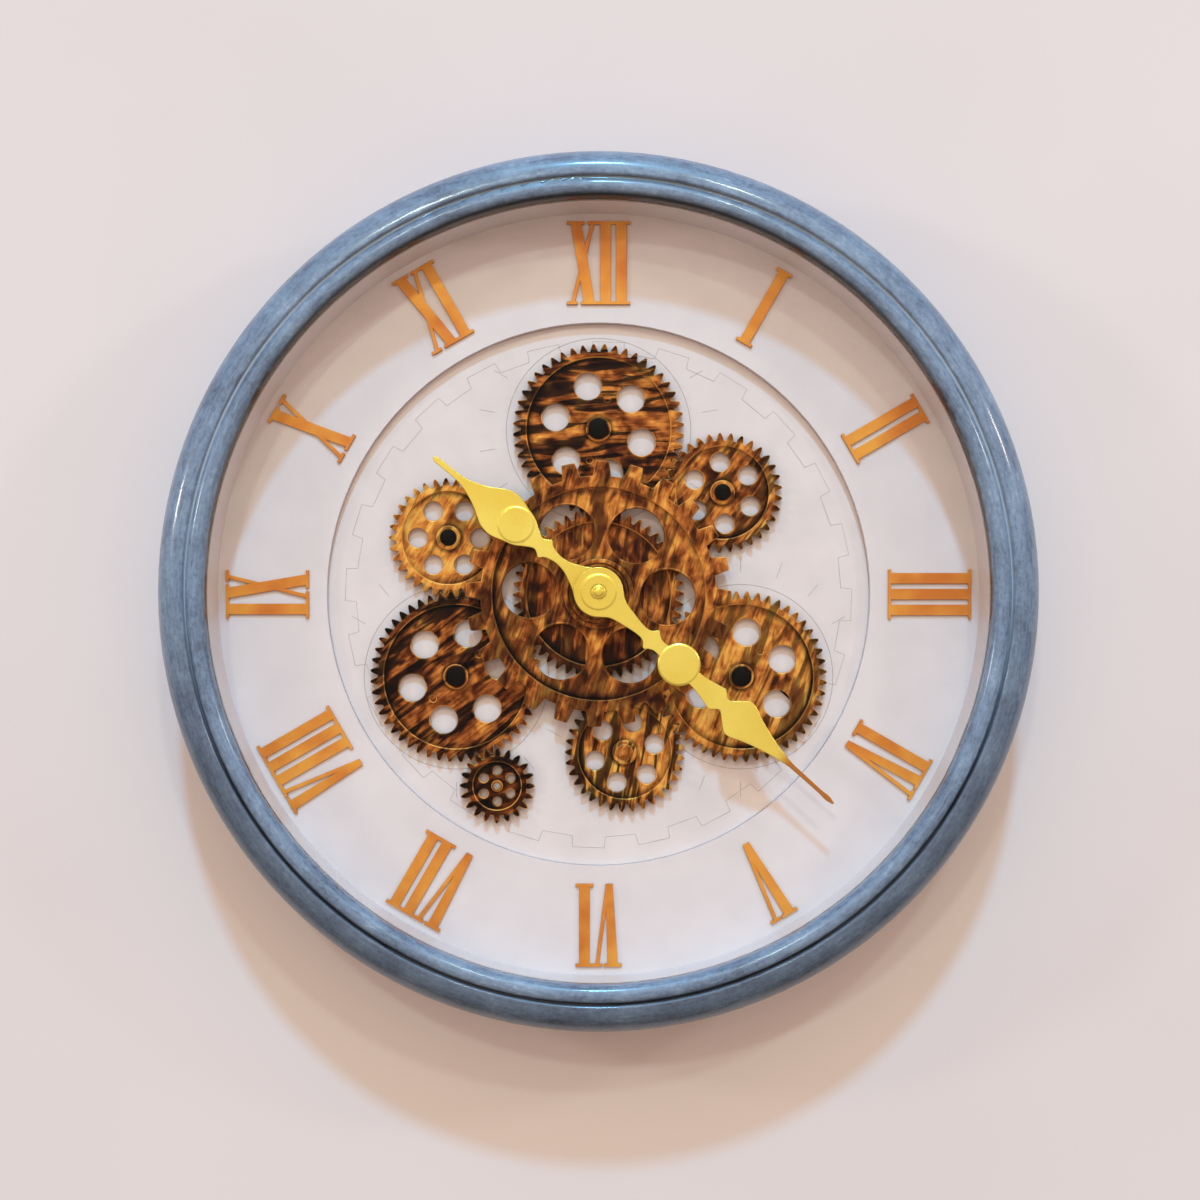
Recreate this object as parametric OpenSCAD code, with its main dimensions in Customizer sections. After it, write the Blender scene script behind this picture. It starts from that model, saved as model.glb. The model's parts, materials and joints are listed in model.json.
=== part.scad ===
// Round wall clock with an open gear train turning behind the hands.
// The clock is drawn flat, face up, with its back on z = 0, and is then stood
// upright: X to the right, Z up, the face towards -Y and the wall at Y = 0.
// The origin is the centre of the keyhole that the clock hangs by.

/* [Bezel] */
// Radius of the large outer bead
outer_bead_r = 15; // [14:0.1:16]
// Width of the flat along the top of the outer bead
crest_w = 0.4; // [0.2:0.1:1.2]
// Radius of the small bead round the opening
inner_bead_r = 5.6; // [5:0.1:6]
// Rounding of the outer bead beside the crease
crest_r = 1.6; // [1:0.1:2]
// Depth of the crease between the two beads
crease_depth = 3; // [2.2:0.1:4]
// Wall of the ring
bezel_wall = 2.6; // [2:0.1:3]
// Thickness of the lip under the middle of the small bead
lip_t = 3.4; // [2.5:0.1:4.5]
// Radius of each screw boss inside the ring
boss_r = 4.2; // [3.6:0.1:4.4]
// Number of screw bosses
boss_count = 8; // [6:1:12]

/* [Glazing] */
// Thickness of the front glass
glass_t = 3; // [2:0.1:4]
// Thickness of the black gasket under the lip
gasket_t = 0.8; // [0.5:0.1:1.5]
// Wall of the white spacer between the dial and the glass
liner_wall = 2; // [1.2:0.1:3]
// Space between the hands' nut and the glass
glass_gap = 1.1; // [0.6:0.1:6]

/* [Dial] */
// Space between the gear train and the chapter ring
train_gap = 12.5; // [9:0.1:15]
// Thickness of the chapter ring
ring_t = 5; // [3:0.1:8]
// Thickness of the dial board
board_t = 3; // [2.5:0.1:5]
// Thickness of the printed sheet inside the chapter ring
sheet_t = 0.5; // [0.3:0.1:1]
// Space between the chapter ring's inner edge and the numerals
numeral_foot_gap = 10.1; // [7:0.1:13]
// Height of the numerals
numeral_h = 48.5; // [44:0.5:52]
// Space between the numerals and the opening of the painted ring
numeral_head_gap = 4.8; // [3:0.1:7]
// Thickness of the numerals
numeral_t = 1.5; // [1:0.1:2]
// Width of a thick stroke
thick_w = 6.3; // [5:0.1:6.6]
// Width of a thin stroke
thin_w = 2.3; // [1.6:0.1:2.6]
// Height of a serif
serif_h = 1.9; // [1.2:0.1:2.4]
// How far a serif reaches past its stroke
serif_over = 2.1; // [1.6:0.1:2.4]
// Space between the strokes of neighbouring letters
letter_gap = 2.9; // [2.8:0.1:3.4]

/* [Gear train] */
// Module of the spur gears
tooth_module = 2; // [1.9:0.02:2.04]
// Pressure angle of the spur teeth
pressure_angle = 25; // [22:1:26]
// Play between meshing teeth, measured along the pitch circle
backlash = 0.3; // [0.2:0.05:0.5]
// Thickness of the spur gears
gear_t = 3.5; // [3:0.1:3.8]
// Teeth on the gear behind the centre wheel and on the three gears that it drives
large_teeth = 48; // [48]
// Teeth on the three small gears
small_teeth = 33; // [33]
// Teeth on the drive pinion
pinion_teeth = 20; // [20]
// Depth of the sunk web on the face of each gear
web_sink = 0.9; // [0.5:0.1:1.2]
// Width of the raised rim inside the teeth
rim_w = 3.6; // [3:0.1:5]
// Radius of the gear studs
stud_r = 3; // [2.6:0.1:3.4]
// Running clearance of a gear on its stud
running_gap = 0.05; // [0.03:0.01:0.08]

/* [Centre wheel] */
// Space between the square teeth and the caps of the gear studs
centre_cap_gap = 13; // [11:0.1:15]
// Height of the square teeth
centre_tooth_h = 8.7; // [7:0.1:10]
// Number of square teeth
centre_teeth = 24; // [24]
// Width of a square tooth at its tip
centre_tip_w = 7.8; // [7:0.1:8.4]
// Width of a square tooth at its foot
centre_root_w = 10.7; // [9:0.1:11.5]
// Thickness of the centre wheel
centre_t = 4; // [3:0.1:4.4]
// Width of the raised rim inside the square teeth
centre_rim_w = 6.6; // [4.6:0.1:8]
// Space between the rim and the six round windows
window_rim_gap = 5.7; // [4:0.1:8]
// Space between the windows and the ring round the hub
window_hub_gap = 3.7; // [2.6:0.1:6]
// Radius of the raised ring round the hub
hub_ring_r = 20.2; // [19:0.1:21]
// Width of that ring
hub_ring_w = 2.3; // [1.6:0.1:2.6]
// Width of the thin ridge inside that ring
hub_ridge_w = 1.1; // [0.8:0.1:1.4]

/* [Hands] */
// Length of the minute hand from the axis
minute_len = 180; // [160:1:186]
// Length of the hour hand from the axis
hour_len = 122.5; // [110:1:130]
// Radius of each hand's hub
hand_hub_r = 14.2; // [13:0.1:16]
// Thickness of the hands
hand_t = 1.2; // [0.8:0.1:1.4]
// Extra height of the raised discs on the hands
disc_rise = 0.6; // [0.4:0.1:0.9]
// Radius of the raised disc on the minute hand's hub
hub_boss_r = 10.9; // [9:0.1:12]

/* [Movement] */
// Wall of the movement case at each end of its cell
case_wall = 1.5; // [1.2:0.1:3]
// Radius of the threaded bush round the hand shafts
bush_r = 4; // [3.8:0.1:4.3]
// Outer radius of the hour tube
hour_tube_r = 2.6; // [2.5:0.05:2.8]
// Radius of the minute shaft
minute_shaft_r = 1.6; // [1.4:0.05:1.8]
// Radius of a battery cell
cell_r = 7.1; // [6.9:0.05:7.2]
// Length of a battery cell without its button
cell_len = 49; // [48:0.5:49.5]

/* [Gear motor] */
// Wall of the gear motor case at each end of its cell
motor_end_wall = 6.5; // [5:0.1:8]
// Height of the gear motor case
motor_h = 44; // [42:0.5:46]
// Radius of the pinion shaft
pinion_shaft_r = 1.6; // [1.4:0.1:1.8]
// Travel of the gear motor's switch
switch_travel = 4; // [3:0.1:5]

/* [Back] */
// Distance from the wall to the rear cover
cover_recess = 4; // [3.5:0.1:5]
// Thickness of the rear cover
cover_t = 2.5; // [2:0.1:3]
// Space between the movement and the rear cover's inner face
case_recess = 1.7; // [1.4:0.1:4]
// Distance from the back spacer's wall to the middle of the keyhole
hang_inset = 39.6; // [37:0.1:46]
// Radius of the keyhole
keyhole_r = 5; // [4.5:0.1:5.5]
// Half the width of the keyhole's slot
keyslot_r = 2.3; // [2:0.1:2.5]
// Rise of the keyhole's slot
keyslot_rise = 12; // [10:0.5:13]
// Thickness of the hanging plate
plate_t = 1.5; // [1.2:0.1:2]
// Number of stiffening ribs round the rear cover
rib_count = 24; // [24, 36]

/* [Time shown] */
// Minutes past ten o'clock
minutes = 22; // [0:1:59]

/* [Hidden] */
$fn = 96;
over = 1;
touch_gap = 0.3;
side_gap = 0.4;
fit_gap = 0.02;

// Reach of the gear train, and the dial and the painted ring round it
addendum_share = 0.95;
dedendum_share = 1.25;
addendum = addendum_share * tooth_module;
dedendum = dedendum_share * tooth_module;
planet_reach = tooth_module * large_teeth;
small_reach = tooth_module * (large_teeth + small_teeth) / 2;
pinion_reach = tooth_module * (large_teeth + pinion_teeth) / 2;
train_reach = planet_reach + tooth_module * large_teeth / 2 + addendum;
ring_inner_r = train_reach + train_gap;
numeral_r = ring_inner_r + numeral_foot_gap;
lip_r = numeral_r + numeral_h + numeral_head_gap;
crease_r = lip_r + 2 * inner_bead_r;
bezel_r = crease_r + crest_r + crest_w + outer_bead_r;

// Bezel section
boss_share = 0.6;
bead_reach = bezel_r - outer_bead_r;
side_r = bezel_r - bezel_wall;
boss_gap = 0.7;
boss_side_gap = 1.8;
boss_reach = side_r - boss_r - boss_side_gap;
stack_r = boss_reach - boss_r - boss_gap;
small_screw_r = 1.5;

// Cells and the cases that hold them
bay_gap = 0.5;
bay_floor = 1.4;
bay_wall = 3.4;
cell_gap = 0.4;
cell_button_r = 2.7;
cell_button_h = 1;
contact_t = 0.5;
contact_w = 9;
contact_bump_r = 3;
contact_bump_h = 1;
bay_len = cell_len + cell_button_h + 2 * contact_t + contact_bump_h + 2 * bay_gap;
case_w = bay_len + 2 * case_wall;
case_h = 2 * cell_r + cell_gap + bay_floor;
bay_drop = case_w / 2 - cell_r - bay_gap - bay_wall;
washer_pad_t = 0.8;
washer_pad_r = 10;
cavity_h = washer_pad_t + case_h + case_recess;

// Levels above the wall
cover_z = cover_recess;
cavity_z = cover_z + cover_t;
board_z = cavity_z + cavity_h;
sheet_z = board_z + board_t;
ring_z = sheet_z;
ring_face = ring_z + ring_t;
dial_face = sheet_z + sheet_t;
flange_t = 1.2;
gear_z = dial_face + flange_t + touch_gap;
gear_face = gear_z + gear_t;
centre_gap = 1.5;
centre_z = gear_face + centre_gap;
centre_face = centre_z + centre_t;

// Screws and their posts
screw_head_r = 3.2;
screw_head_h = 2.2;
screw_bite = 14;
post_r = 4.5;

// Spur gears: places are given as a reach and a clock direction
sun_phase = 0.4;
planet_angles = [0, 120, 240];
small_angles = [117, 237, 357];
pinion_angle = 159.3;
planet_hole_turns = [-13.8, 7, 15.8];
small_hole_turns = [-4.5, 14.5, 30];
hole_count = 6;
large_hole_r = 8;
large_hole_reach = 26.1;
large_ring_r = 7.3;
small_hole_r = 5.6;
small_hole_reach = 18;
small_ring_r = 7.2;
pinion_hole_r = 2.5;
pinion_hole_reach = 9;
pinion_ring_r = 3.4;
dimple_r = 1.7;
dimple_reach = 18.6;
dimple_turn = 60;
dimple_depth = 0.5;
hub_rise = 0.8;

// Studs and caps
stud_flange_r = 7;
stud_shank_r = 2.2;
stud_rivet_r = 3.6;
stud_rivet_h = 1;
large_cap_r = 5.9;
small_cap_r = 4.8;
cap_t = 1.8;
cap_crown = 0.5;
cap_z = gear_face + hub_rise + touch_gap;
stud_top = cap_z + cap_t - cap_crown - touch_gap;

// Centre of the train
centre_tip_r = planet_reach - large_cap_r - centre_cap_gap;
centre_root_r = centre_tip_r - centre_tooth_h;
centre_rim_r = centre_root_r - centre_rim_w;
window_r = (centre_rim_r - window_rim_gap - hub_ring_r - window_hub_gap) / 2;
window_reach = hub_ring_r + window_hub_gap + window_r;
sleeve_wall = 2.4;
sleeve_bore_r = bush_r + running_gap;
sleeve_r = sleeve_bore_r + sleeve_wall;
hub_bore_r = sleeve_r + running_gap;
sleeve_flange_r = 11;
window_ring_w = 1;
window_ring_h = 0.4;
centre_sink = 1.2;
hub_sink = 1.6;
hub_ridge_gap = 1;
hub_ridge_h = 0.7;
centre_boss_r = 13;
hub_top = centre_face - hub_sink + touch_gap;
sleeve_top = hub_top + touch_gap;
washer_t = 0.8;
washer_r = 9;
nut_flats = 12;
nut_t = 2.4;
nut_z = sleeve_top + washer_t;
bush_top = nut_z + nut_t + touch_gap;
centre_turn = 1.7;
window_turn = 33;

// Hands and their shafts
collet_r = 5;
hour_collet_h = 7;
minute_collet_h = 2.6;
cap_nut_r = 4;
cap_nut_h = 2.4;
hand_gap = 3.6;
hour_z = bush_top + touch_gap + hour_collet_h;
hour_tube_top = hour_z + hand_t + touch_gap;
minute_z = hour_tube_top + hand_gap + disc_rise;
minute_shaft_top = minute_z + hand_t + cap_nut_h / 2;

// Levels of the glass and the ring's front, set by the hands
glass_z = minute_z + hand_t + cap_nut_h + glass_gap;
chamber_h = glass_z - ring_face;
gasket_z = glass_z + glass_t;
lip_z = gasket_z + gasket_t;
lip_face = lip_z + lip_t;
front_z = lip_face + inner_bead_r;
bead_z = front_z - outer_bead_r;

// Hand outlines as shares of the hand's length: distance from the axis, half width
hour_blade_shares = [
    [0, 0.108], [0.065, 0.094], [0.105, 0.067], [0.144, 0.046], [0.196, 0.0253], [0.24, 0.0196],
    [0.282, 0.0261], [0.305, 0.036], [0.323, 0.053], [0.34, 0.042], [0.362, 0.032],
    [0.4, 0.05], [0.45, 0.081], [0.5, 0.096], [0.575, 0.115], [0.62, 0.1085], [0.662, 0.087],
    [0.705, 0.061], [0.757, 0.0384], [0.81, 0.0216], [0.873, 0.0143], [0.98, 0.0139], [1, 0.006]
];
hour_disc_share = 0.5;
hour_disc_r_share = 0.09;
minute_blade_shares = [
    [0, 0.074], [0.047, 0.0615], [0.083, 0.0365], [0.12, 0.0272], [0.19, 0.0172],
    [0.208, 0.022], [0.225, 0.0383], [0.238, 0.028], [0.258, 0.0206], [0.29, 0.022],
    [0.415, 0.0245], [0.49, 0.0385], [0.505, 0.042], [0.516, 0.034], [0.533, 0.0215],
    [0.56, 0.04], [0.598, 0.0665], [0.66, 0.045], [0.722, 0.0265], [0.79, 0.012],
    [0.83, 0.0075], [0.94, 0.0066], [0.975, 0.0085], [1, 0.004]
];
minute_disc_share = 0.343;
minute_disc_r_share = 0.0686;
blade_steps = 4;
hour_lag = 1.6;
minute_turn = 6 * minutes;
hour_turn = 300 + minutes / 2 - hour_lag;

// Movement and gear motor
case_top = board_z - washer_pad_t;
case_back = case_top - case_h;
case_corner_r = 4;
case_step_w = 1;
case_step_h = 3;
minute_shaft_share = 0.7;
knob_r = 6;
knob_t = 3;
knob_shaft_r = 1.5;
knob_notch_r = 0.7;
knob_notches = 20;
knob_at = [15, 13];
knob_depth = 6;
motor_back = board_z - case_h;
motor_shaft_at = [16, 12];
motor_w = bay_len + 2 * motor_end_wall;
motor_wall = 3.9;
motor_bay_drop = motor_h / 2 - cell_r - bay_gap - motor_wall;
motor_ear_w = 9;
motor_ear_t = 2.5;
motor_screw_r = 1.3;
motor_screw_head_r = 2.8;
motor_screw_head_h = 1.8;
switch_w = 5;
switch_h = 3.6;
switch_t = 3;
switch_stand = 1.5;

// Back
cover_gap = 0.8;
cover_r = side_r - cover_gap;
cover_wall = 2;
opening_gap = 3;
hang_h = cover_r - cover_wall - hang_inset;
pocket_gap = 2.4;
pocket_half = (keyhole_r + keyslot_rise + keyslot_r) / 2 + pocket_gap;
pocket_h = 8;
plate_rise = (keyslot_rise + keyslot_r - keyhole_r) / 2;
plate_corner_r = 8;
plate_margin = 4;
plate_half = pocket_half + plate_margin;
plate_screw_gap = 10;
plate_screw_reach = pocket_half + plate_screw_gap;
plate_end = 8;
pad_gap = 2;
hanger_screw_len = 7;
blind_floor = 0.5;
bumper_r = 8;
bumper_reach = hang_h;
bumper_angles = [145, 215];
rib_w = 2.4;
rib_h = 1;
rib_gap = 8.9;
rib_span = 46;
rib_outer_r = boss_reach - post_r - rib_gap;
rib_inner_r = rib_outer_r - rib_span;

NUMERALS = ["I", "II", "III", "IV", "V", "VI", "VII", "VIII", "IX", "X", "XI", "XII"];
NUMERAL_NODES = [
    "numeral_i", "numeral_ii", "numeral_iii", "numeral_iv", "numeral_v", "numeral_vi",
    "numeral_vii", "numeral_viii", "numeral_ix", "numeral_x", "numeral_xi", "numeral_xii"
];

// The flat drawing stood up against the wall, hung at the origin
module hung() {
    translate([0, 0, -hang_h]) rotate([90, 0, 0]) children();
}

// A point at a clock direction, 0 at twelve and turning as the hands do
function toward(reach, angle) = [reach * sin(angle), reach * cos(angle)];

module lift(z) {
    translate([0, 0, z]) children();
}

module at(place, z) {
    translate([place[0], place[1], z]) children();
}

module round_copies(count, reach, angle) {
    for (k = [0 : count - 1]) {
        p = toward(reach, angle + 360 * k / count);
        translate([p[0], p[1], 0]) children();
    }
}

module tube(r_out, r_in, h) {
    difference() {
        cylinder(r = r_out, h = h);
        translate([0, 0, -over]) cylinder(r = r_in, h = h + 2 * over);
    }
}

// A square with round corners, centred
module round_square(w, h, r) {
    square([w - 2 * r, h], center = true);
    square([w, h - 2 * r], center = true);
    for (sx = [-1, 1], sy = [-1, 1]) {
        translate([sx * (w / 2 - r), sy * (h / 2 - r)]) circle(r = r);
    }
}

// Spur gear teeth with involute sides

function involute(a) = tan(a) * 180 / PI - a;

function tooth_half(teeth, r) =
    let (
        pitch_r = tooth_module * teeth / 2,
        base_r = pitch_r * cos(pressure_angle),
        slack = backlash / 4 / pitch_r * 180 / PI,
        a = acos(base_r / max(r, base_r))
    )
    90 / teeth - slack + involute(pressure_angle) - involute(a);

function tooth_radii(teeth) =
    let (pitch_r = tooth_module * teeth / 2)
    [
        pitch_r - dedendum, pitch_r - dedendum / 3,
        pitch_r + addendum / 3, pitch_r + addendum
    ];

function gear_points(teeth, phase) =
    let (radii = tooth_radii(teeth), n = len(radii))
    [
        for (t = [0 : teeth - 1], k = [0 : 2 * n - 1])
            let (
                rising = k < n,
                r = radii[rising ? k : 2 * n - 1 - k],
                a = phase + 360 * t / teeth + (rising ? -1 : 1) * tooth_half(teeth, r)
            )
            r * [cos(a), sin(a)]
    ];

// Tooth phase of a gear that meshes with another one lying in the other clock direction
function meshed(phase, teeth, own_teeth, angle) =
    let (line = 90 - angle)
    line + 180 - (phase - line) * teeth / own_teeth + 180 / own_teeth;

function planet_at(i) = toward(planet_reach, planet_angles[i]);
function small_at(i) = planet_at(i) + toward(small_reach, small_angles[i]);
function pinion_at() = planet_at(2) + toward(pinion_reach, pinion_angle);
function planet_phase(i) = meshed(sun_phase, large_teeth, large_teeth, planet_angles[i]);
function small_phase(i) = meshed(planet_phase(i), large_teeth, small_teeth, small_angles[i]);
function pinion_phase() = meshed(planet_phase(2), large_teeth, pinion_teeth, pinion_angle);

// A gear with a raised rim, a sunk web with round holes and a raised hub ring
module spur_gear(teeth, phase, bore_r, ring_r, hole_r, hole_reach, hole_turn) {
    web_r = tooth_module * teeth / 2 - dedendum - rim_w;
    difference() {
        union() {
            difference() {
                linear_extrude(gear_t) polygon(gear_points(teeth, phase));
                lift(gear_t - web_sink) cylinder(r = web_r, h = web_sink + over);
            }
            cylinder(r = ring_r, h = gear_t + hub_rise);
        }
        lift(-over) cylinder(r = bore_r, h = gear_t + hub_rise + 2 * over);
        lift(-over) round_copies(hole_count, hole_reach, hole_turn) {
            cylinder(r = hole_r, h = gear_t + 2 * over);
        }
    }
}

module large_gear(phase, hole_turn) {
    difference() {
        spur_gear(
            large_teeth, phase, stud_r + running_gap, large_ring_r,
            large_hole_r, large_hole_reach, hole_turn
        );
        lift(gear_t - web_sink - dimple_depth) {
            round_copies(2, dimple_reach, hole_turn + dimple_turn / 2) {
                cylinder(r = dimple_r, h = dimple_depth + over);
            }
        }
    }
}

module small_gear(phase, hole_turn) {
    spur_gear(
        small_teeth, phase, stud_r + running_gap, small_ring_r,
        small_hole_r, small_hole_reach, hole_turn
    );
}

module planet_gear(i) {
    color("#a8662a") hung() at(planet_at(i), gear_z) {
        large_gear(planet_phase(i), planet_hole_turns[i]);
    }
}

module outer_gear(i, tint) {
    color(tint) hung() at(small_at(i), gear_z) small_gear(small_phase(i), small_hole_turns[i]);
}

module top_gear() {
    planet_gear(0);
}

module right_gear() {
    planet_gear(1);
}

module lower_left_gear() {
    planet_gear(2);
}

module upper_right_gear() {
    outer_gear(0, "#a8662a");
}

module bottom_gear() {
    outer_gear(1, "#a8662a");
}

module left_gear() {
    outer_gear(2, "#c98f3a");
}

module drive_pinion() {
    color("#8a5222") hung() at(pinion_at(), gear_z) {
        spur_gear(
            pinion_teeth, pinion_phase(), pinion_shaft_r + fit_gap, pinion_ring_r,
            pinion_hole_r, pinion_hole_reach, 0
        );
    }
}

module pinion_shaft() {
    foot = motor_back + case_h / 2;
    color("silver") hung() at(pinion_at(), foot) {
        cylinder(r = pinion_shaft_r, h = gear_face + hub_rise - foot);
    }
}

module sun_gear() {
    web_r = tooth_module * large_teeth / 2 - dedendum - rim_w;
    color("#8f5524") hung() lift(gear_z) difference() {
        linear_extrude(gear_t) polygon(gear_points(large_teeth, sun_phase));
        lift(gear_t - web_sink) difference() {
            cylinder(r = web_r, h = web_sink + over);
            lift(-over) cylinder(r = centre_boss_r, h = web_sink + 3 * over);
        }
        lift(-over) cylinder(r = hub_bore_r, h = gear_t + 2 * over);
    }
}

// The large wheel with square teeth, fixed in front of the sun gear

function square_tooth_points() =
    [
        for (t = [0 : centre_teeth - 1], k = [0 : 3])
            let (
                inner = k == 0 || k == 3,
                r = inner ? centre_root_r : centre_tip_r,
                w = inner ? centre_root_w : centre_tip_w,
                side = k < 2 ? -1 : 1,
                a = 90 - centre_turn - 360 * t / centre_teeth
            )
            [r * cos(a) + side * w / 2 * sin(a), r * sin(a) - side * w / 2 * cos(a)]
    ];

module centre_wheel() {
    sunk_face = centre_t - centre_sink;
    ridge_r = hub_ring_r - hub_ring_w - hub_ridge_gap;
    color("#a5632a") hung() lift(centre_z) difference() {
        union() {
            difference() {
                linear_extrude(centre_t) polygon(square_tooth_points());
                lift(sunk_face) cylinder(r = centre_rim_r, h = centre_sink + over);
            }
            round_copies(hole_count, window_reach, window_turn) {
                cylinder(r = window_r + window_ring_w, h = sunk_face + window_ring_h);
            }
            cylinder(r = hub_ring_r, h = centre_t);
            lift(-centre_gap) cylinder(r = centre_boss_r, h = centre_gap + over);
        }
        lift(-over) round_copies(hole_count, window_reach, window_turn) {
            cylinder(r = window_r, h = centre_t + 2 * over);
        }
        lift(centre_t - hub_sink) difference() {
            cylinder(r = hub_ring_r - hub_ring_w, h = hub_sink + over);
            lift(-over) tube(ridge_r, ridge_r - hub_ridge_w, hub_ridge_h + over);
        }
        lift(-centre_gap - over) cylinder(r = hub_bore_r, h = centre_t + centre_gap + 2 * over);
    }
}

module centre_sleeve() {
    color("#b8923f") hung() lift(dial_face) difference() {
        union() {
            cylinder(r = sleeve_flange_r, h = flange_t);
            cylinder(r = sleeve_r, h = sleeve_top - dial_face);
        }
        lift(-over) cylinder(r = sleeve_bore_r, h = sleeve_top - dial_face + 2 * over);
    }
}

module sleeve_washer() {
    color("#caa24a") hung() lift(sleeve_top) tube(washer_r, sleeve_bore_r, washer_t);
}

module bush_nut() {
    color("#caa24a") hung() lift(nut_z) difference() {
        cylinder(r = nut_flats / sqrt(3), h = nut_t, $fn = 6);
        lift(-over) cylinder(r = sleeve_bore_r, h = nut_t + 2 * over);
    }
}

// Studs that the gears turn on, riveted through the dial board

module gear_stud() {
    foot = board_z - stud_rivet_h;
    lift(foot) cylinder(r = stud_rivet_r, h = stud_rivet_h);
    lift(foot) cylinder(r = stud_shank_r, h = dial_face - foot + over / 2);
    lift(dial_face) cylinder(r = stud_flange_r, h = flange_t);
    lift(dial_face) cylinder(r = stud_r, h = stud_top - dial_face);
}

module gear_studs() {
    color("#8d8d8d") hung() for (i = [0 : 2]) {
        at(planet_at(i), 0) gear_stud();
        at(small_at(i), 0) gear_stud();
    }
}

module stud_cap(r) {
    lift(cap_z) difference() {
        union() {
            cylinder(r = r, h = cap_t - cap_crown);
            lift(cap_t - cap_crown) cylinder(r1 = r, r2 = r - cap_crown, h = cap_crown);
        }
        lift(-over) cylinder(r = stud_r + fit_gap, h = stud_top - cap_z + over);
    }
}

module stud_caps() {
    color("#15100c") hung() {
        for (i = [0 : 2]) {
            at(planet_at(i), 0) stud_cap(large_cap_r);
        }
        for (i = [0, 2]) {
            at(small_at(i), 0) stud_cap(small_cap_r);
        }
    }
}

module bottom_stud_cap() {
    color("#a8662a") hung() at(small_at(1), 0) stud_cap(small_cap_r);
}

// Painted ring

// The quarter of a round bead that faces outwards
module outer_quarter(r) {
    translate([bead_reach, bead_z]) intersection() {
        circle(r = r);
        square([r, r]);
    }
}

// Two beads with a sharp crease between them: a large one that runs on into the side of the
// ring, and a small one round the opening
module bezel_section() {
    edge_r = bezel_wall / 2;
    difference() {
        union() {
            outer_quarter(outer_bead_r);
            translate([crease_r + crest_r, front_z - crest_r]) circle(r = crest_r);
            translate([crease_r + crest_r, lip_z]) square([crest_w, front_z - lip_z]);
            translate([crease_r, lip_z]) square([crest_r, front_z - crest_r - lip_z]);
            translate([lip_r + inner_bead_r, lip_z]) {
                square([inner_bead_r + over, front_z - crease_depth - lip_z]);
            }
            translate([lip_r + inner_bead_r, lip_face]) circle(r = inner_bead_r);
            translate([lip_r, lip_z]) square([2 * inner_bead_r, lip_t]);
            translate([side_r, edge_r]) square([bezel_wall, bead_z - edge_r]);
            translate([side_r + edge_r, edge_r]) circle(r = edge_r);
        }
        outer_quarter(outer_bead_r - bezel_wall);
        translate([lip_r - over, -over]) square([bead_reach - lip_r + over, lip_z + over]);
        translate([bead_reach - over, -over]) square([side_r - bead_reach + over, bead_z + over]);
    }
}

module bezel_ring() {
    boss_top = bead_z + outer_bead_r * boss_share;
    color("#6c85a3") hung() difference() {
        union() {
            rotate_extrude() bezel_section();
            round_copies(boss_count, boss_reach, 180 / boss_count) {
                lift(sheet_z) cylinder(r = boss_r, h = boss_top - sheet_z);
            }
        }
        round_copies(boss_count, boss_reach, 180 / boss_count) {
            lift(sheet_z - over) {
                cylinder(r = small_screw_r + running_gap, h = screw_bite + touch_gap + over);
            }
        }
    }
}

module glass_gasket() {
    color("#1a1a1c") hung() lift(gasket_z) tube(stack_r, lip_r, gasket_t);
}

module front_glass() {
    color("#dfe9ee", 0.25) hung() lift(glass_z) cylinder(r = stack_r, h = glass_t);
}

module side_liner() {
    color("#e6dfdb") hung() lift(ring_face) rotate_extrude() {
        translate([lip_r, 0]) square([liner_wall, chamber_h]);
        translate([lip_r, 0]) square([stack_r - lip_r, liner_wall]);
        translate([lip_r, chamber_h - liner_wall]) square([stack_r - lip_r, liner_wall]);
    }
}

// Dial

module chapter_ring() {
    color("#ddd5d3") hung() lift(ring_z) tube(stack_r, ring_inner_r, ring_t);
}

// Holes through the dial board and its printed sheet
module train_holes(bottom, h) {
    lift(bottom) {
        cylinder(r = sleeve_bore_r, h = h);
        for (i = [0 : 2]) {
            at(planet_at(i), 0) cylinder(r = stud_shank_r + fit_gap, h = h);
            at(small_at(i), 0) cylinder(r = stud_shank_r + fit_gap, h = h);
        }
        at(pinion_at(), 0) cylinder(r = pinion_shaft_r + side_gap, h = h);
    }
}

// Holes for the long screws that clamp the cover, the spacer and the dial board to the ring
module cover_screw_holes(bottom, h) {
    round_copies(boss_count, boss_reach, 180 / boss_count) {
        lift(bottom - over) cylinder(r = small_screw_r + side_gap, h = h + 2 * over);
    }
}

module dial_board() {
    color("#d8cfc8") hung() difference() {
        lift(board_z) cylinder(r = side_r - side_gap, h = board_t);
        train_holes(board_z - over, board_t + 2 * over);
        cover_screw_holes(board_z, board_t);
        motor_screw_places() lift(board_z - over) {
            cylinder(r = motor_screw_r + running_gap, h = board_t - blind_floor + over);
        }
    }
}

module inner_dial() {
    color("#e2dbd8") hung() difference() {
        lift(sheet_z) cylinder(r = ring_inner_r - touch_gap, h = sheet_t);
        train_holes(sheet_z - over, sheet_t + 2 * over);
    }
}

// Roman numerals, built from strokes; each letter starts at its left edge

vee_w = 2 * thick_w + serif_h / 2;
ex_w = 2 * thick_w + serif_h;

function letter_w(c) = c == "I" ? thick_w : c == "V" ? vee_w : ex_w;

function word_w(word, n) = n == 0 ? 0 : word_w(word, n - 1) + letter_w(word[n - 1]) + letter_gap;

module tapered_stroke(foot, foot_w, head, head_w) {
    polygon([[foot, 0], [foot + foot_w, 0], [head + head_w, numeral_h], [head, numeral_h]]);
}

module stroke(foot, head, w) {
    tapered_stroke(foot, w, head, w);
}

module serif(x, w, y) {
    translate([x - serif_over, y]) square([w + 2 * serif_over, serif_h]);
}

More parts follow.
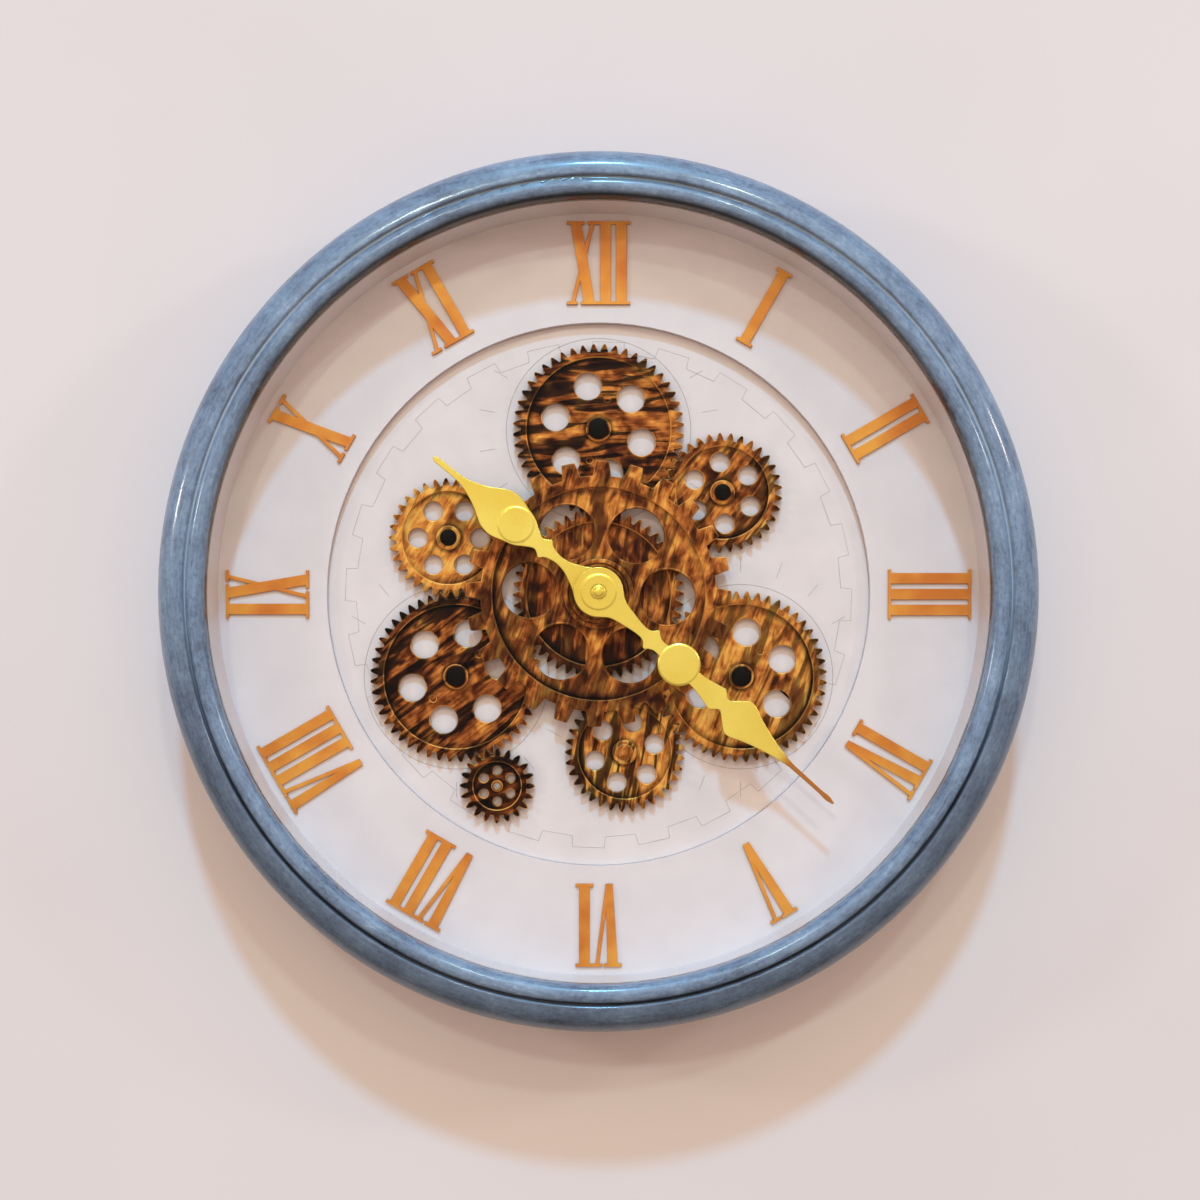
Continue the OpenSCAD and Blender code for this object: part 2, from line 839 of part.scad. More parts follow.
module letter(c) {
    top = numeral_h - serif_h;
    if (c == "I") {
        stroke(0, 0, thick_w);
        serif(0, thick_w, 0);
        serif(0, thick_w, top);
    }
    if (c == "V") {
        point_w = (thick_w + serif_h) / 2;
        point = (vee_w - thick_w / 2 - point_w) / 2;
        tapered_stroke(point, point_w, 0, thick_w);
        stroke(point + point_w - thin_w, vee_w - thin_w, thin_w);
        serif(0, thick_w, top);
        serif(vee_w - thin_w, thin_w, top);
    }
    if (c == "X") {
        stroke(ex_w - thick_w, 0, thick_w);
        stroke(0, ex_w - thin_w, thin_w);
        serif(0, thick_w, top);
        serif(ex_w - thin_w, thin_w, top);
        serif(0, thin_w, 0);
        serif(ex_w - thick_w, thick_w, 0);
    }
}

module numeral(i) {
    word = NUMERALS[i];
    total = word_w(word, len(word)) - letter_gap;
    color("#d08a35") hung() lift(ring_face) rotate([0, 0, -30 * (i + 1)]) {
        translate([-total / 2, numeral_r, 0]) linear_extrude(numeral_t) {
            for (k = [0 : len(word) - 1]) {
                translate([word_w(word, k), 0]) letter(word[k]);
            }
        }
    }
}

// Hands: a hub, a waisted neck, a raised disc and a leaf drawn out to a needle

// Slope of an outline at one of its points: level at a peak, at a waist and at both ends
function outline_slope(shares, k) =
    k == 0 || k == len(shares) - 1 ? 0 :
    let (
        before = (shares[k][1] - shares[k - 1][1]) / (shares[k][0] - shares[k - 1][0]),
        after = (shares[k + 1][1] - shares[k][1]) / (shares[k + 1][0] - shares[k][0])
    )
    before * after <= 0 ? 0 : 2 * before * after / (before + after);

// One side of a blade, a smooth curve through the points of its outline
function blade_side(shares, size) =
    [
        for (k = [0 : len(shares) - 2], i = [0 : blade_steps - 1])
            let (
                t = i / blade_steps,
                here = shares[k],
                next = shares[k + 1],
                run = next[0] - here[0],
                leaving = here[1] * (1 + 2 * t) + outline_slope(shares, k) * run * t,
                nearing = next[1] * (3 - 2 * t) - outline_slope(shares, k + 1) * run * (1 - t)
            )
            size * [leaving * pow(1 - t, 2) + nearing * pow(t, 2), here[0] + run * t]
    ];

module hand_blade(shares, size) {
    side = blade_side(shares, size);
    last = shares[len(shares) - 1];
    tip = [size * [last[1], last[0]], size * [-last[1], last[0]]];
    polygon(concat(side, tip, [for (k = [len(side) - 1 : -1 : 0]) [-side[k][0], side[k][1]]]));
}

// A disc with a sloping edge, raised from the face of a hand
module raised_disc(r) {
    cylinder(r = r, h = hand_t);
    lift(hand_t) cylinder(r1 = r, r2 = r - 2 * disc_rise, h = disc_rise);
}

module hand(shares, size, disc, disc_r, bore_r, collet_h, turn) {
    rotate([0, 0, -turn]) difference() {
        union() {
            linear_extrude(hand_t) hand_blade(shares, size);
            cylinder(r = hand_hub_r, h = hand_t);
            translate([0, size * disc, 0]) raised_disc(size * disc_r);
            lift(-collet_h) cylinder(r = collet_r, h = collet_h + hand_t / 2);
        }
        lift(-collet_h - over) cylinder(r = bore_r, h = collet_h + hand_t + 2 * over);
    }
}

module hour_hand() {
    color("#e0c455") hung() lift(hour_z) {
        hand(
            hour_blade_shares, hour_len, hour_disc_share, hour_disc_r_share,
            hour_tube_r + fit_gap, hour_collet_h, hour_turn
        );
    }
}

module minute_hand() {
    color("#e0c455") hung() lift(minute_z) {
        hand(
            minute_blade_shares, minute_len, minute_disc_share, minute_disc_r_share,
            minute_shaft_r + fit_gap, minute_collet_h, minute_turn
        );
        difference() {
            raised_disc(hub_boss_r);
            lift(-over) cylinder(r = cap_nut_r + side_gap, h = hand_t + disc_rise + 2 * over);
        }
    }
}

module hand_nut() {
    edge = cap_nut_h / 4;
    color("#e6cf6a") hung() lift(minute_z + hand_t) difference() {
        union() {
            cylinder(r = cap_nut_r, h = cap_nut_h - edge);
            lift(cap_nut_h - edge) cylinder(r1 = cap_nut_r, r2 = cap_nut_r - edge, h = edge);
        }
        lift(-over) cylinder(r = minute_shaft_r + fit_gap, h = cap_nut_h / 2 + over + fit_gap);
    }
}

// Quartz movement behind the board

module hour_tube() {
    foot = case_top - case_h / 2;
    color("#c9a75a") hung() lift(foot) {
        tube(hour_tube_r, minute_shaft_r + running_gap, hour_tube_top - foot);
    }
}

module minute_shaft() {
    foot = case_top - minute_shaft_share * case_h;
    color("#b9b9b9") hung() lift(foot) {
        cylinder(r = minute_shaft_r, h = minute_shaft_top - foot);
    }
}

module movement_bush() {
    foot = case_top - case_h / 4;
    color("#c9a75a") hung() lift(foot) tube(bush_r, hour_tube_r + running_gap, bush_top - foot);
}

module movement_washer() {
    color("#222222") hung() lift(case_top) tube(washer_pad_r, sleeve_bore_r, washer_pad_t);
}

// A bay for one cell, open at the back
module cell_bay(h) {
    translate([-bay_len / 2, -cell_r - bay_gap, -over]) {
        cube([bay_len, 2 * (cell_r + bay_gap), h - bay_floor + over]);
    }
}

// The cell lies along X with its middle at the height of the bay's mouth plus its radius
module cell() {
    rotate([0, 90, 0]) {
        lift(-cell_len / 2) cylinder(r = cell_r, h = cell_len);
        lift(cell_len / 2 - over) cylinder(r = cell_button_r, h = cell_button_h + over);
    }
}

module contact_pair() {
    reach = bay_len / 2;
    for (side = [-1, 1]) {
        translate([side * (reach - contact_t / 2), 0, 0]) {
            cube([contact_t, contact_w, contact_w], center = true);
        }
    }
    translate([-reach + contact_t / 2, 0, 0]) rotate([0, 90, 0]) {
        cylinder(r = contact_bump_r, h = contact_t / 2 + contact_bump_h);
    }
}

// A moulded case, drawn in a little at the back
module stepped_case(w, h) {
    inset = 2 * case_step_w;
    linear_extrude(case_h) round_square(w - inset, h - inset, case_corner_r - case_step_w);
    lift(case_step_h) linear_extrude(case_h - case_step_h) round_square(w, h, case_corner_r);
}

module movement_case() {
    color("#26262a") hung() difference() {
        lift(case_back) stepped_case(case_w, case_w);
        at([0, -bay_drop], case_back) cell_bay(case_h);
        lift(case_top - case_h / 4) cylinder(r = bush_r + fit_gap, h = case_h);
        lift(case_top - case_h / 2 - touch_gap) {
            cylinder(r = hour_tube_r + running_gap, h = case_h);
        }
        lift(case_top - minute_shaft_share * case_h - touch_gap) {
            cylinder(r = minute_shaft_r + running_gap, h = case_h);
        }
        at(knob_at, case_back - over) {
            cylinder(r = knob_shaft_r + running_gap, h = knob_depth + over);
        }
    }
}

module movement_cell() {
    color("#3c6b4a") hung() at([0, -bay_drop], case_back + cell_r) cell();
}

module setting_knob() {
    color("#e8e4da") hung() at(knob_at, case_back) {
        lift(-knob_t - touch_gap) difference() {
            cylinder(r = knob_r, h = knob_t);
            lift(-over) round_copies(knob_notches, knob_r, 0) {
                cylinder(r = knob_notch_r, h = knob_t + 2 * over);
            }
        }
        lift(-touch_gap - over / 2) {
            cylinder(r = knob_shaft_r, h = knob_depth + over / 2);
        }
    }
}

// Gear motor, with the pinion shaft towards its upper right corner seen from the front

function motor_at() = pinion_at() + [motor_shaft_at[0], -motor_shaft_at[1]];

module motor_screw_places() {
    for (side = [-1, 1]) {
        at(motor_at() + [side * (motor_w + motor_ear_w) / 2, 0], 0) children();
    }
}

module gear_motor() {
    color("#2b2b2f") hung() difference() {
        union() {
            at(motor_at(), motor_back) stepped_case(motor_w, motor_h);
            at(motor_at(), board_z - motor_ear_t) linear_extrude(motor_ear_t) {
                round_square(motor_w + 2 * motor_ear_w, motor_ear_w, case_corner_r);
            }
        }
        at(motor_at() - [0, motor_bay_drop], motor_back) cell_bay(case_h);
        at(pinion_at(), motor_back + case_h / 2 - touch_gap) {
            cylinder(r = pinion_shaft_r + running_gap, h = case_h);
        }
        motor_screw_places() {
            lift(board_z - motor_ear_t - over) {
                cylinder(r = motor_screw_r + side_gap, h = motor_ear_t + 2 * over);
            }
        }
        at(motor_at() + [0, motor_h / 4], motor_back - over) linear_extrude(switch_t + over) {
            square([switch_w + switch_travel + 2 * side_gap, switch_h + 2 * side_gap], center = true);
        }
    }
}

module motor_screws() {
    color("#b5b5b5") hung() motor_screw_places() {
        lift(board_z - motor_ear_t - motor_screw_head_h) {
            cylinder(r = motor_screw_head_r, h = motor_screw_head_h);
        }
        lift(board_z - motor_ear_t - over / 2) {
            cylinder(r = motor_screw_r, h = motor_ear_t + over / 2 + board_t / 2);
        }
    }
}

module motor_cell() {
    color("#3c6b4a") hung() at(motor_at() - [0, motor_bay_drop], motor_back + cell_r) cell();
}

module motor_switch() {
    color("#d9d4c6") hung() {
        at(motor_at() + [-switch_travel / 2, motor_h / 4], motor_back - switch_stand) {
            linear_extrude(switch_stand + switch_t - touch_gap) {
                square([switch_w, switch_h], center = true);
            }
        }
    }
}

module cell_contacts() {
    color("#c8c8c8") hung() {
        at([0, -bay_drop], case_back + cell_r) contact_pair();
        at(motor_at() - [0, motor_bay_drop], motor_back + cell_r) contact_pair();
    }
}

// Back of the clock

function plate_at() = [0, hang_h + plate_rise];

module plate_outline(grow) {
    round_square(
        2 * (plate_screw_reach + plate_end + grow), 2 * (plate_half + grow), plate_corner_r
    );
}

module hanger_screw_places() {
    for (side = [-1, 1]) {
        at(plate_at() + [side * plate_screw_reach, 0], 0) children();
    }
}

module keyhole_outline() {
    circle(r = keyhole_r);
    translate([-keyslot_r, 0]) square([2 * keyslot_r, keyslot_rise]);
    translate([0, keyslot_rise]) circle(r = keyslot_r);
}

module movement_opening() {
    round_square(case_w + 2 * opening_gap, case_w + 2 * opening_gap, case_corner_r);
}

module motor_opening() {
    translate(motor_at()) round_square(
        motor_w + 2 * (motor_ear_w + opening_gap), motor_h + 2 * opening_gap, case_corner_r
    );
}

// Raised ribs between two rings on the back of the cover
module cover_ribs() {
    lift(cover_z - rib_h) {
        tube(rib_inner_r + rib_w, rib_inner_r, rib_h + over);
        tube(rib_outer_r, rib_outer_r - rib_w, rib_h + over);
        for (k = [0 : rib_count - 1]) {
            rotate([0, 0, 360 * k / rib_count]) translate([-rib_w / 2, rib_inner_r + rib_w / 2, 0]) {
                cube([rib_w, rib_span - rib_w, rib_h + over]);
            }
        }
    }
}

module rear_cover() {
    color("#2a2a2c") hung() difference() {
        union() {
            lift(cover_z) cylinder(r = cover_r, h = cover_t);
            cover_ribs();
            at(plate_at(), plate_t) linear_extrude(pocket_h + cover_t) plate_outline(pad_gap);
        }
        lift(cover_z - over) linear_extrude(cover_t + 2 * over) {
            movement_opening();
            motor_opening();
        }
        at(plate_at(), plate_t - over) linear_extrude(pocket_h + over) {
            square([2 * pocket_half, 2 * pocket_half], center = true);
        }
        hanger_screw_places() lift(plate_t - over) {
            cylinder(r = motor_screw_r + running_gap, h = hanger_screw_len);
        }
        cover_screw_holes(cover_z, cover_t);
    }
}

// The ring with posts that holds the rear cover off the dial board
module back_spacer() {
    color("#2a2a2c") hung() difference() {
        lift(cavity_z) {
            tube(cover_r, cover_r - cover_wall, cavity_h);
            round_copies(boss_count, boss_reach, 180 / boss_count) {
                cylinder(r = post_r, h = cavity_h);
            }
        }
        cover_screw_holes(cavity_z, cavity_h);
    }
}

module cover_screws() {
    shank = sheet_z + screw_bite - cover_z;
    color("#9a9a9a") hung() round_copies(boss_count, boss_reach, 180 / boss_count) {
        lift(cover_z - screw_head_h) cylinder(r = screw_head_r, h = screw_head_h);
        lift(cover_z - over / 2) cylinder(r = small_screw_r, h = shank + over / 2);
    }
}

module hanger_plate() {
    color("#b9bcc0") hung() difference() {
        at(plate_at(), 0) linear_extrude(plate_t) plate_outline(0);
        at([0, hang_h], -over) linear_extrude(plate_t + 2 * over) keyhole_outline();
        hanger_screw_places() lift(-over) {
            cylinder(r = motor_screw_r + side_gap, h = plate_t + 2 * over);
        }
        hanger_screw_places() countersink(side_gap);
    }
}

// The conical head of a flush screw, with its flat face on z = 0
module countersink(gap) {
    cylinder(r1 = motor_screw_head_r + gap, r2 = motor_screw_r + gap, h = plate_t - touch_gap);
}

module hanger_screws() {
    color("#9a9a9a") hung() hanger_screw_places() {
        countersink(0);
        cylinder(r = motor_screw_r, h = hanger_screw_len);
    }
}

module wall_bumpers() {
    color("#3a3a3c") hung() for (angle = bumper_angles) {
        at(toward(bumper_reach, angle), 0) cylinder(r = bumper_r, h = cover_z);
    }
}

bezel_ring();
glass_gasket();
front_glass();
side_liner();
chapter_ring();
dial_board();
inner_dial();
rear_cover();
back_spacer();
cover_screws();
hanger_plate();
hanger_screws();
wall_bumpers();
centre_wheel();
sun_gear();
centre_sleeve();
sleeve_washer();
bush_nut();
top_gear();
right_gear();
lower_left_gear();
upper_right_gear();
bottom_gear();
left_gear();
drive_pinion();
pinion_shaft();
gear_studs();
stud_caps();
bottom_stud_cap();
movement_case();
movement_bush();
movement_washer();
movement_cell();
hour_tube();
minute_shaft();
setting_knob();
gear_motor();
motor_screws();
motor_cell();
motor_switch();
cell_contacts();
hour_hand();
minute_hand();
hand_nut();
for (i = [0 : len(NUMERALS) - 1]) {
    numeral(i);
}
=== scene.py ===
# %% [markdown]
# # A wall clock with an open gear train
#
# The real clock is a moulded ring under blue lacquer, a white dial behind flat glass, and a train of
# bronze wheels that turns behind gold hands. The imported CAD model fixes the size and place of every
# piece. This lesson gives each piece its surface, and remakes some of them with the finer form that
# shows close up: eased edges, cross recesses, springs and crimped cells. All lengths are in metres.

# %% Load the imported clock
import json
import math

import bmesh
import bpy
from mathutils import Matrix, Vector

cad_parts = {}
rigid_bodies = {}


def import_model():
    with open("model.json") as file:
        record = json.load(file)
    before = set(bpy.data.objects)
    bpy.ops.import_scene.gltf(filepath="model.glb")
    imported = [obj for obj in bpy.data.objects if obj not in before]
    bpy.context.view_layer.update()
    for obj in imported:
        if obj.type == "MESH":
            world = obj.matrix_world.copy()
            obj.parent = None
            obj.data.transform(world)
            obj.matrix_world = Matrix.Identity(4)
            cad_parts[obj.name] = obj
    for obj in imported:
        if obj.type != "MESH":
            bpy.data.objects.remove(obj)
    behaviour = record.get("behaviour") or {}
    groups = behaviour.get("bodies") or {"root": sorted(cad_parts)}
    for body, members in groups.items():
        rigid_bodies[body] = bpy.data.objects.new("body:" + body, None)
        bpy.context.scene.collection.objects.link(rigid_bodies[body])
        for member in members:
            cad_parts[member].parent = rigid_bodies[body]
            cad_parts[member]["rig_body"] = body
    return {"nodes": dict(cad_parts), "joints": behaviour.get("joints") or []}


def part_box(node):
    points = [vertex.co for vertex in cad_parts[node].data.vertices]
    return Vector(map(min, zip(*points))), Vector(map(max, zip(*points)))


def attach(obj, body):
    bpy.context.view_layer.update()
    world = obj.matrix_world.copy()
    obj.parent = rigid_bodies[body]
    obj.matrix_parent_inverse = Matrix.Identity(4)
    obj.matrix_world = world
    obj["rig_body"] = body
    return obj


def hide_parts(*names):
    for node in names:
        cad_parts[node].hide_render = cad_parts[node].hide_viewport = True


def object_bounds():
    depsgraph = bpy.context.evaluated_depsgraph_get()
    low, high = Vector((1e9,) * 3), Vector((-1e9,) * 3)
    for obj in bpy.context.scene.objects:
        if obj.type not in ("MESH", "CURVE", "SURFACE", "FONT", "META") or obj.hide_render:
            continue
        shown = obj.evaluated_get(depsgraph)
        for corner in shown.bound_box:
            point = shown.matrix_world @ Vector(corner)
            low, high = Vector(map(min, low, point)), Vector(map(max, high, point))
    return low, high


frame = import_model()
cad_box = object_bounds()
nodes = frame["nodes"]
MM = 0.001


def rounded(point):
    return [round(v, 4) for v in point]


print(len(nodes), "nodes, from", rounded(cad_box[0]), "to", rounded(cad_box[1]))

# %% [markdown]
# ## Where things turn
#
# A wheel's pattern has to sit on its own stud, or it would slide as the wheel turns. The joints of the
# model hold those places, so they are read from there and never typed again.

# %% Read the pivots and the levels
pivots = {j["child"]: Vector(j["pos_m"]) for j in frame["joints"] if "pos_m" in j}
axis = Vector((pivots["centre_train"].x, 0, pivots["centre_train"].z))


def reach(node):
    """The outer radius of a round node that is centred on its own axis."""
    low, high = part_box(node)
    return (high.x - low.x) / 2


def front(node):
    """The level of a node's front face: the clock faces -Y."""
    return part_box(node)[0].y


def back(node):
    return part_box(node)[1].y


ring_r = reach("bezel_ring")
dial_r = reach("inner_dial")
print("ring radius", round(ring_r, 4), "inner dial radius", round(dial_r, 4))

# %% [markdown]
# ## Two helpers for node trees
#
# Materials and Geometry Nodes are both trees of nodes. Writing them by hand is long, so one function
# adds a node with its settings, and one fills its inputs: a plain value is typed into the socket, and
# another node is linked to it. Inputs are given by name, or in their order where a node only counts
# them, such as the two numbers of a sum. Colours are written as sRGB hex values, as one picks them on
# a screen, and turned to the linear values that the render works in.


# %% Helpers for colours and nodes
def linear(colour):
    """An sRGB hex value, or a plain grey from 0 to 1, as a linear colour with alpha."""
    if not isinstance(colour, str):
        return (colour, colour, colour, 1.0)
    parts = (int(colour[i:i + 2], 16) / 255 for i in (1, 3, 5))
    return (*(p / 12.92 if p <= 0.04045 else ((p + 0.055) / 1.055) ** 2.4 for p in parts), 1.0)


def feed(tree, node, inputs):
    """Fills a node's inputs, by name or number or in their order, from values, sockets or nodes."""
    for key, value in inputs.items() if isinstance(inputs, dict) else enumerate(inputs):
        if isinstance(key, int):
            socket = node.inputs[key]
        else:
            socket = next(s for s in node.inputs if s.enabled and s.name == key)
        for one in value if isinstance(value, list) else [value]:
            if isinstance(one, bpy.types.Node):
                one = next(s for s in one.outputs if s.enabled)
            if isinstance(one, bpy.types.NodeSocket):
                tree.links.new(one, socket)
            else:
                socket.default_value = one
    return node


def add(tree, kind, inputs=None, stops=(), **settings):
    """Adds a node with its settings, a colour ramp's stops where it has them, and its inputs."""
    node = tree.nodes.new(kind)
    for name, value in settings.items():
        setattr(node, name, value)
    for _ in stops[2:]:
        node.color_ramp.elements.new(1.0)
    for element, (place, colour) in zip(node.color_ramp.elements if stops else (), stops):
        element.position = place
        element.color = linear(colour)
    return feed(tree, node, inputs or {})


def new_material(name):
    """A material with a Principled shader that is wired to its output."""
    made = bpy.data.materials.new(name)
    made.use_nodes = True
    return made, made.node_tree, made.node_tree.nodes["Principled BSDF"]


SOFT_STEP = {"interpolation_type": "SMOOTHSTEP"}
print("half of full brightness on a screen is", round(linear("#808080")[0], 3), "in the render")

# %% [markdown]
# ## The blue lacquer of the ring
#
# The ring is moulded ABS, sprayed mid blue, wiped with a paler and a darker glaze, and sealed with a
# clear coat. The glaze breaks into fine grains that are a little longer round the ring than across it,
# with faint smudges and a few specks. An angle would jump where it starts again, so the noise reads
# the direction from the axis as a unit vector, which has no seam, and the radius and the depth as two
# more numbers that change faster. Painted shade lies thinly over the lower half, fills the crease
# between the two beads there and stands on the inner wall below the small bead, further forward
# towards the top. Towards the top the crease is filled with a pale tone instead, painted light over
# its shadow.

# %% Make the ring's lacquer
GRAIN_LENGTH = 9 * MM
GRAIN_WIDTH = 1.6 * MM
SMUDGE = 34 * MM
SPECK = 2.6 * MM
CREASE = (233 * MM, 69 * MM)            # its radius, and its distance from the wall
# The dark glaze set below is painted shade: in the crease and over the lower half, and on the inner wall,
# further forward towards the top.
DARK_REACH = (0.8 * MM, 3.6 * MM)       # how far from the crease the dark glaze is full, and ends
# The pale glaze is painted light, laid in the crease towards the top over its shadow.
PALE_REACH = (0.6 * MM, 2.6 * MM)
INNER_SHADE_LEVEL = (66.6 * MM, 3.9 * MM)     # its level on the inner wall, and how far that tilts
INNER_FADE = (1.6 * MM, 1.2 * MM)
LOWER_HALF = (0.15, -0.55)              # as heights on a ring of radius 1
LOWER_SHADE_SHARE = 0.5
PAINTED_SHADE_TONE = "#15161C"
PAINTED_LIGHT_TONE = "#B0C3D4"


def blue_lacquer():
    made, tree, shader = new_material("blue_lacquer_glazed_over_abs")
    local = add(tree, "ShaderNodeMapping", {
        "Vector": add(tree, "ShaderNodeTexCoord").outputs["Object"], "Location": tuple(axis),
    }, vector_type="TEXTURE")
    depth = add(tree, "ShaderNodeMath", [
        add(tree, "ShaderNodeSeparateXYZ", {"Vector": local}).outputs["Y"], -1.0,
    ], operation="MULTIPLY")
    flat = add(tree, "ShaderNodeVectorMath", [local, (1, 0, 1)], operation="MULTIPLY")
    radius = add(tree, "ShaderNodeVectorMath", [flat], operation="LENGTH").outputs["Value"]
    way = add(tree, "ShaderNodeVectorMath", [flat], operation="NORMALIZE")
    around = add(tree, "ShaderNodeVectorMath", {0: way, "Scale": ring_r / GRAIN_LENGTH}, operation="SCALE")
    place = add(tree, "ShaderNodeVectorMath", [
        around,
        add(tree, "ShaderNodeCombineXYZ", {
            "Y": add(tree, "ShaderNodeMath", [radius, GRAIN_WIDTH], operation="DIVIDE"),
        }),
    ], operation="ADD")
    grains = add(tree, "ShaderNodeTexNoise", {
        "Vector": place, "W": add(tree, "ShaderNodeMath", [depth, GRAIN_WIDTH], operation="DIVIDE"),
        "Scale": 1.0, "Detail": 5.0, "Roughness": 0.66, "Distortion": 0.4,
    }, noise_dimensions="4D")
    smudges = add(tree, "ShaderNodeTexNoise", {
        "Vector": local, "Scale": 1 / SMUDGE, "Detail": 4.0, "Roughness": 0.6,
    })
    specks = add(tree, "ShaderNodeTexNoise", {
        "Vector": local, "Scale": 1 / SPECK, "Detail": 2.0, "Roughness": 0.7,
    })
    tone = add(tree, "ShaderNodeMath", [
        smudges.outputs[0], 0.4,
        add(tree, "ShaderNodeMath", [
            specks.outputs[0], 0.22,
            add(tree, "ShaderNodeMath", [grains.outputs[0], 0.42], operation="MULTIPLY"),
        ], operation="MULTIPLY_ADD"),
    ], operation="MULTIPLY_ADD")
    glaze = add(tree, "ShaderNodeValToRGB", {"Fac": tone}, stops=(
        (0.4, "#4C5C73"), (0.47, "#5D728D"), (0.53, "#6A829E"), (0.6, "#7891AC"), (0.68, "#97AAC2"),
    ))
    up = add(tree, "ShaderNodeSeparateXYZ", {"Vector": way}).outputs["Z"]
    low = add(tree, "ShaderNodeMapRange", {
        "Value": up, "From Min": LOWER_HALF[0], "From Max": LOWER_HALF[1],
    }, **SOFT_STEP)
    outside = add(tree, "ShaderNodeMath", [radius, CREASE[0]], operation="GREATER_THAN")
    crease = add(tree, "ShaderNodeVectorMath", [
        add(tree, "ShaderNodeCombineXYZ", {"X": radius, "Y": depth}), (*CREASE, 0),
    ], operation="DISTANCE").outputs["Value"]
    # Painted shade in the crease, on the lower half only.
    crease_shade = add(tree, "ShaderNodeMath", [
        add(tree, "ShaderNodeMapRange", {
            "Value": crease, "From Min": DARK_REACH[1], "From Max": DARK_REACH[0],
        }, **SOFT_STEP),
        low,
    ], operation="MULTIPLY")
    # Painted shade on the inner wall below the small bead, reaching further forward towards the top.
    limit = add(tree, "ShaderNodeMath", [up, INNER_SHADE_LEVEL[1], INNER_SHADE_LEVEL[0]], operation="MULTIPLY_ADD")
    inner_wall_shade = add(tree, "ShaderNodeMath", [
        add(tree, "ShaderNodeMath", [1.0, outside], operation="SUBTRACT"),
        add(tree, "ShaderNodeMapRange", {
            "Value": depth,
            "From Min": add(tree, "ShaderNodeMath", [limit, INNER_FADE[0]], operation="ADD"),
            "From Max": add(tree, "ShaderNodeMath", [limit, INNER_FADE[1]], operation="SUBTRACT"),
        }, **SOFT_STEP),
    ], operation="MULTIPLY")
    # Painted shade, thinly over the lower half of the outer bead.
    lower_half_shade = add(tree, "ShaderNodeMath", [
        add(tree, "ShaderNodeMath", [low, outside], operation="MULTIPLY"), LOWER_SHADE_SHARE,
    ], operation="MULTIPLY")
    # All the painted shade together.
    dark = add(tree, "ShaderNodeMath", [
        add(tree, "ShaderNodeMath", [crease_shade, inner_wall_shade], operation="MAXIMUM"), lower_half_shade,
    ], operation="MAXIMUM")
    # Painted light: a pale tone in the crease towards the top, over its shadow.
    crease_painted_light = add(tree, "ShaderNodeMath", [
        add(tree, "ShaderNodeMapRange", {
            "Value": crease, "From Min": PALE_REACH[1], "From Max": PALE_REACH[0],
        }, **SOFT_STEP),
        add(tree, "ShaderNodeMath", [0.9, low], operation="SUBTRACT"),
    ], operation="MULTIPLY")
    pale = add(tree, "ShaderNodeMix", {
        "Factor": crease_painted_light, "A": glaze, "B": linear(PAINTED_LIGHT_TONE),
    }, data_type="RGBA")
    colour = add(tree, "ShaderNodeMix", {
        "Factor": dark, "A": pale, "B": linear(PAINTED_SHADE_TONE),
    }, data_type="RGBA")
    feed(tree, shader, {
        "Base Color": colour,
        "Roughness": add(tree, "ShaderNodeMapRange", {
            "Value": tone, "From Min": 0.4, "From Max": 0.66, "To Min": 0.32, "To Max": 0.5,
        }),
        "Normal": add(tree, "ShaderNodeBump", {"Height": grains, "Strength": 0.25, "Distance": 0.1 * MM}),
        "IOR": 1.5, "Coat Weight": 0.5, "Coat Roughness": 0.12,
    })
    return made


ring_lacquer = blue_lacquer()
print("grains", GRAIN_LENGTH / MM, "by", GRAIN_WIDTH / MM, "mm")

# %% [markdown]
# ## White plastic, the printed sheet and the ink
#
# The chapter ring, the inner side wall and the dial board are warm white ABS with the faint orange
# peel of a polished mould. The sheet inside the chapter ring is matt printed film. Both are nearly
# flat, so their detail is a soft cloudiness of a few per cent and a fine relief that breaks up the
# reflections. The black and ivory plastics, the rubber, the painted caps and the ink are made the same
# way, with coarser or finer grain and more or less gloss.


# %% Make the plastics of the dial
def moulded_plastic(name, low, high, cloud, grain, depth, rough, spread=0.06, shine=0.5):
    """ABS: two close colours in clouds, a moulded grain of that size and depth, and an even gloss."""
    made, tree, shader = new_material(name)
    where = add(tree, "ShaderNodeTexCoord").outputs["Object"]
    clouds = add(tree, "ShaderNodeTexNoise", {
        "Vector": where, "Scale": 1 / cloud, "Detail": 4.0, "Roughness": 0.6,
    })
    mould = add(tree, "ShaderNodeTexNoise", {
        "Vector": where, "Scale": 1 / grain, "Detail": 2.0, "Roughness": 0.55,
    })
    feed(tree, shader, {
        "Base Color": add(tree, "ShaderNodeValToRGB", {"Fac": clouds}, stops=((0.35, low), (0.65, high))),
        "Roughness": add(tree, "ShaderNodeMapRange", {
            "Value": mould, "From Min": 0.3, "From Max": 0.7, "To Min": rough, "To Max": rough + spread,
        }),
        "Normal": add(tree, "ShaderNodeBump", {"Height": mould, "Strength": 0.25, "Distance": depth}),
        "IOR": 1.53, "Specular IOR Level": shine,
    })
    return made


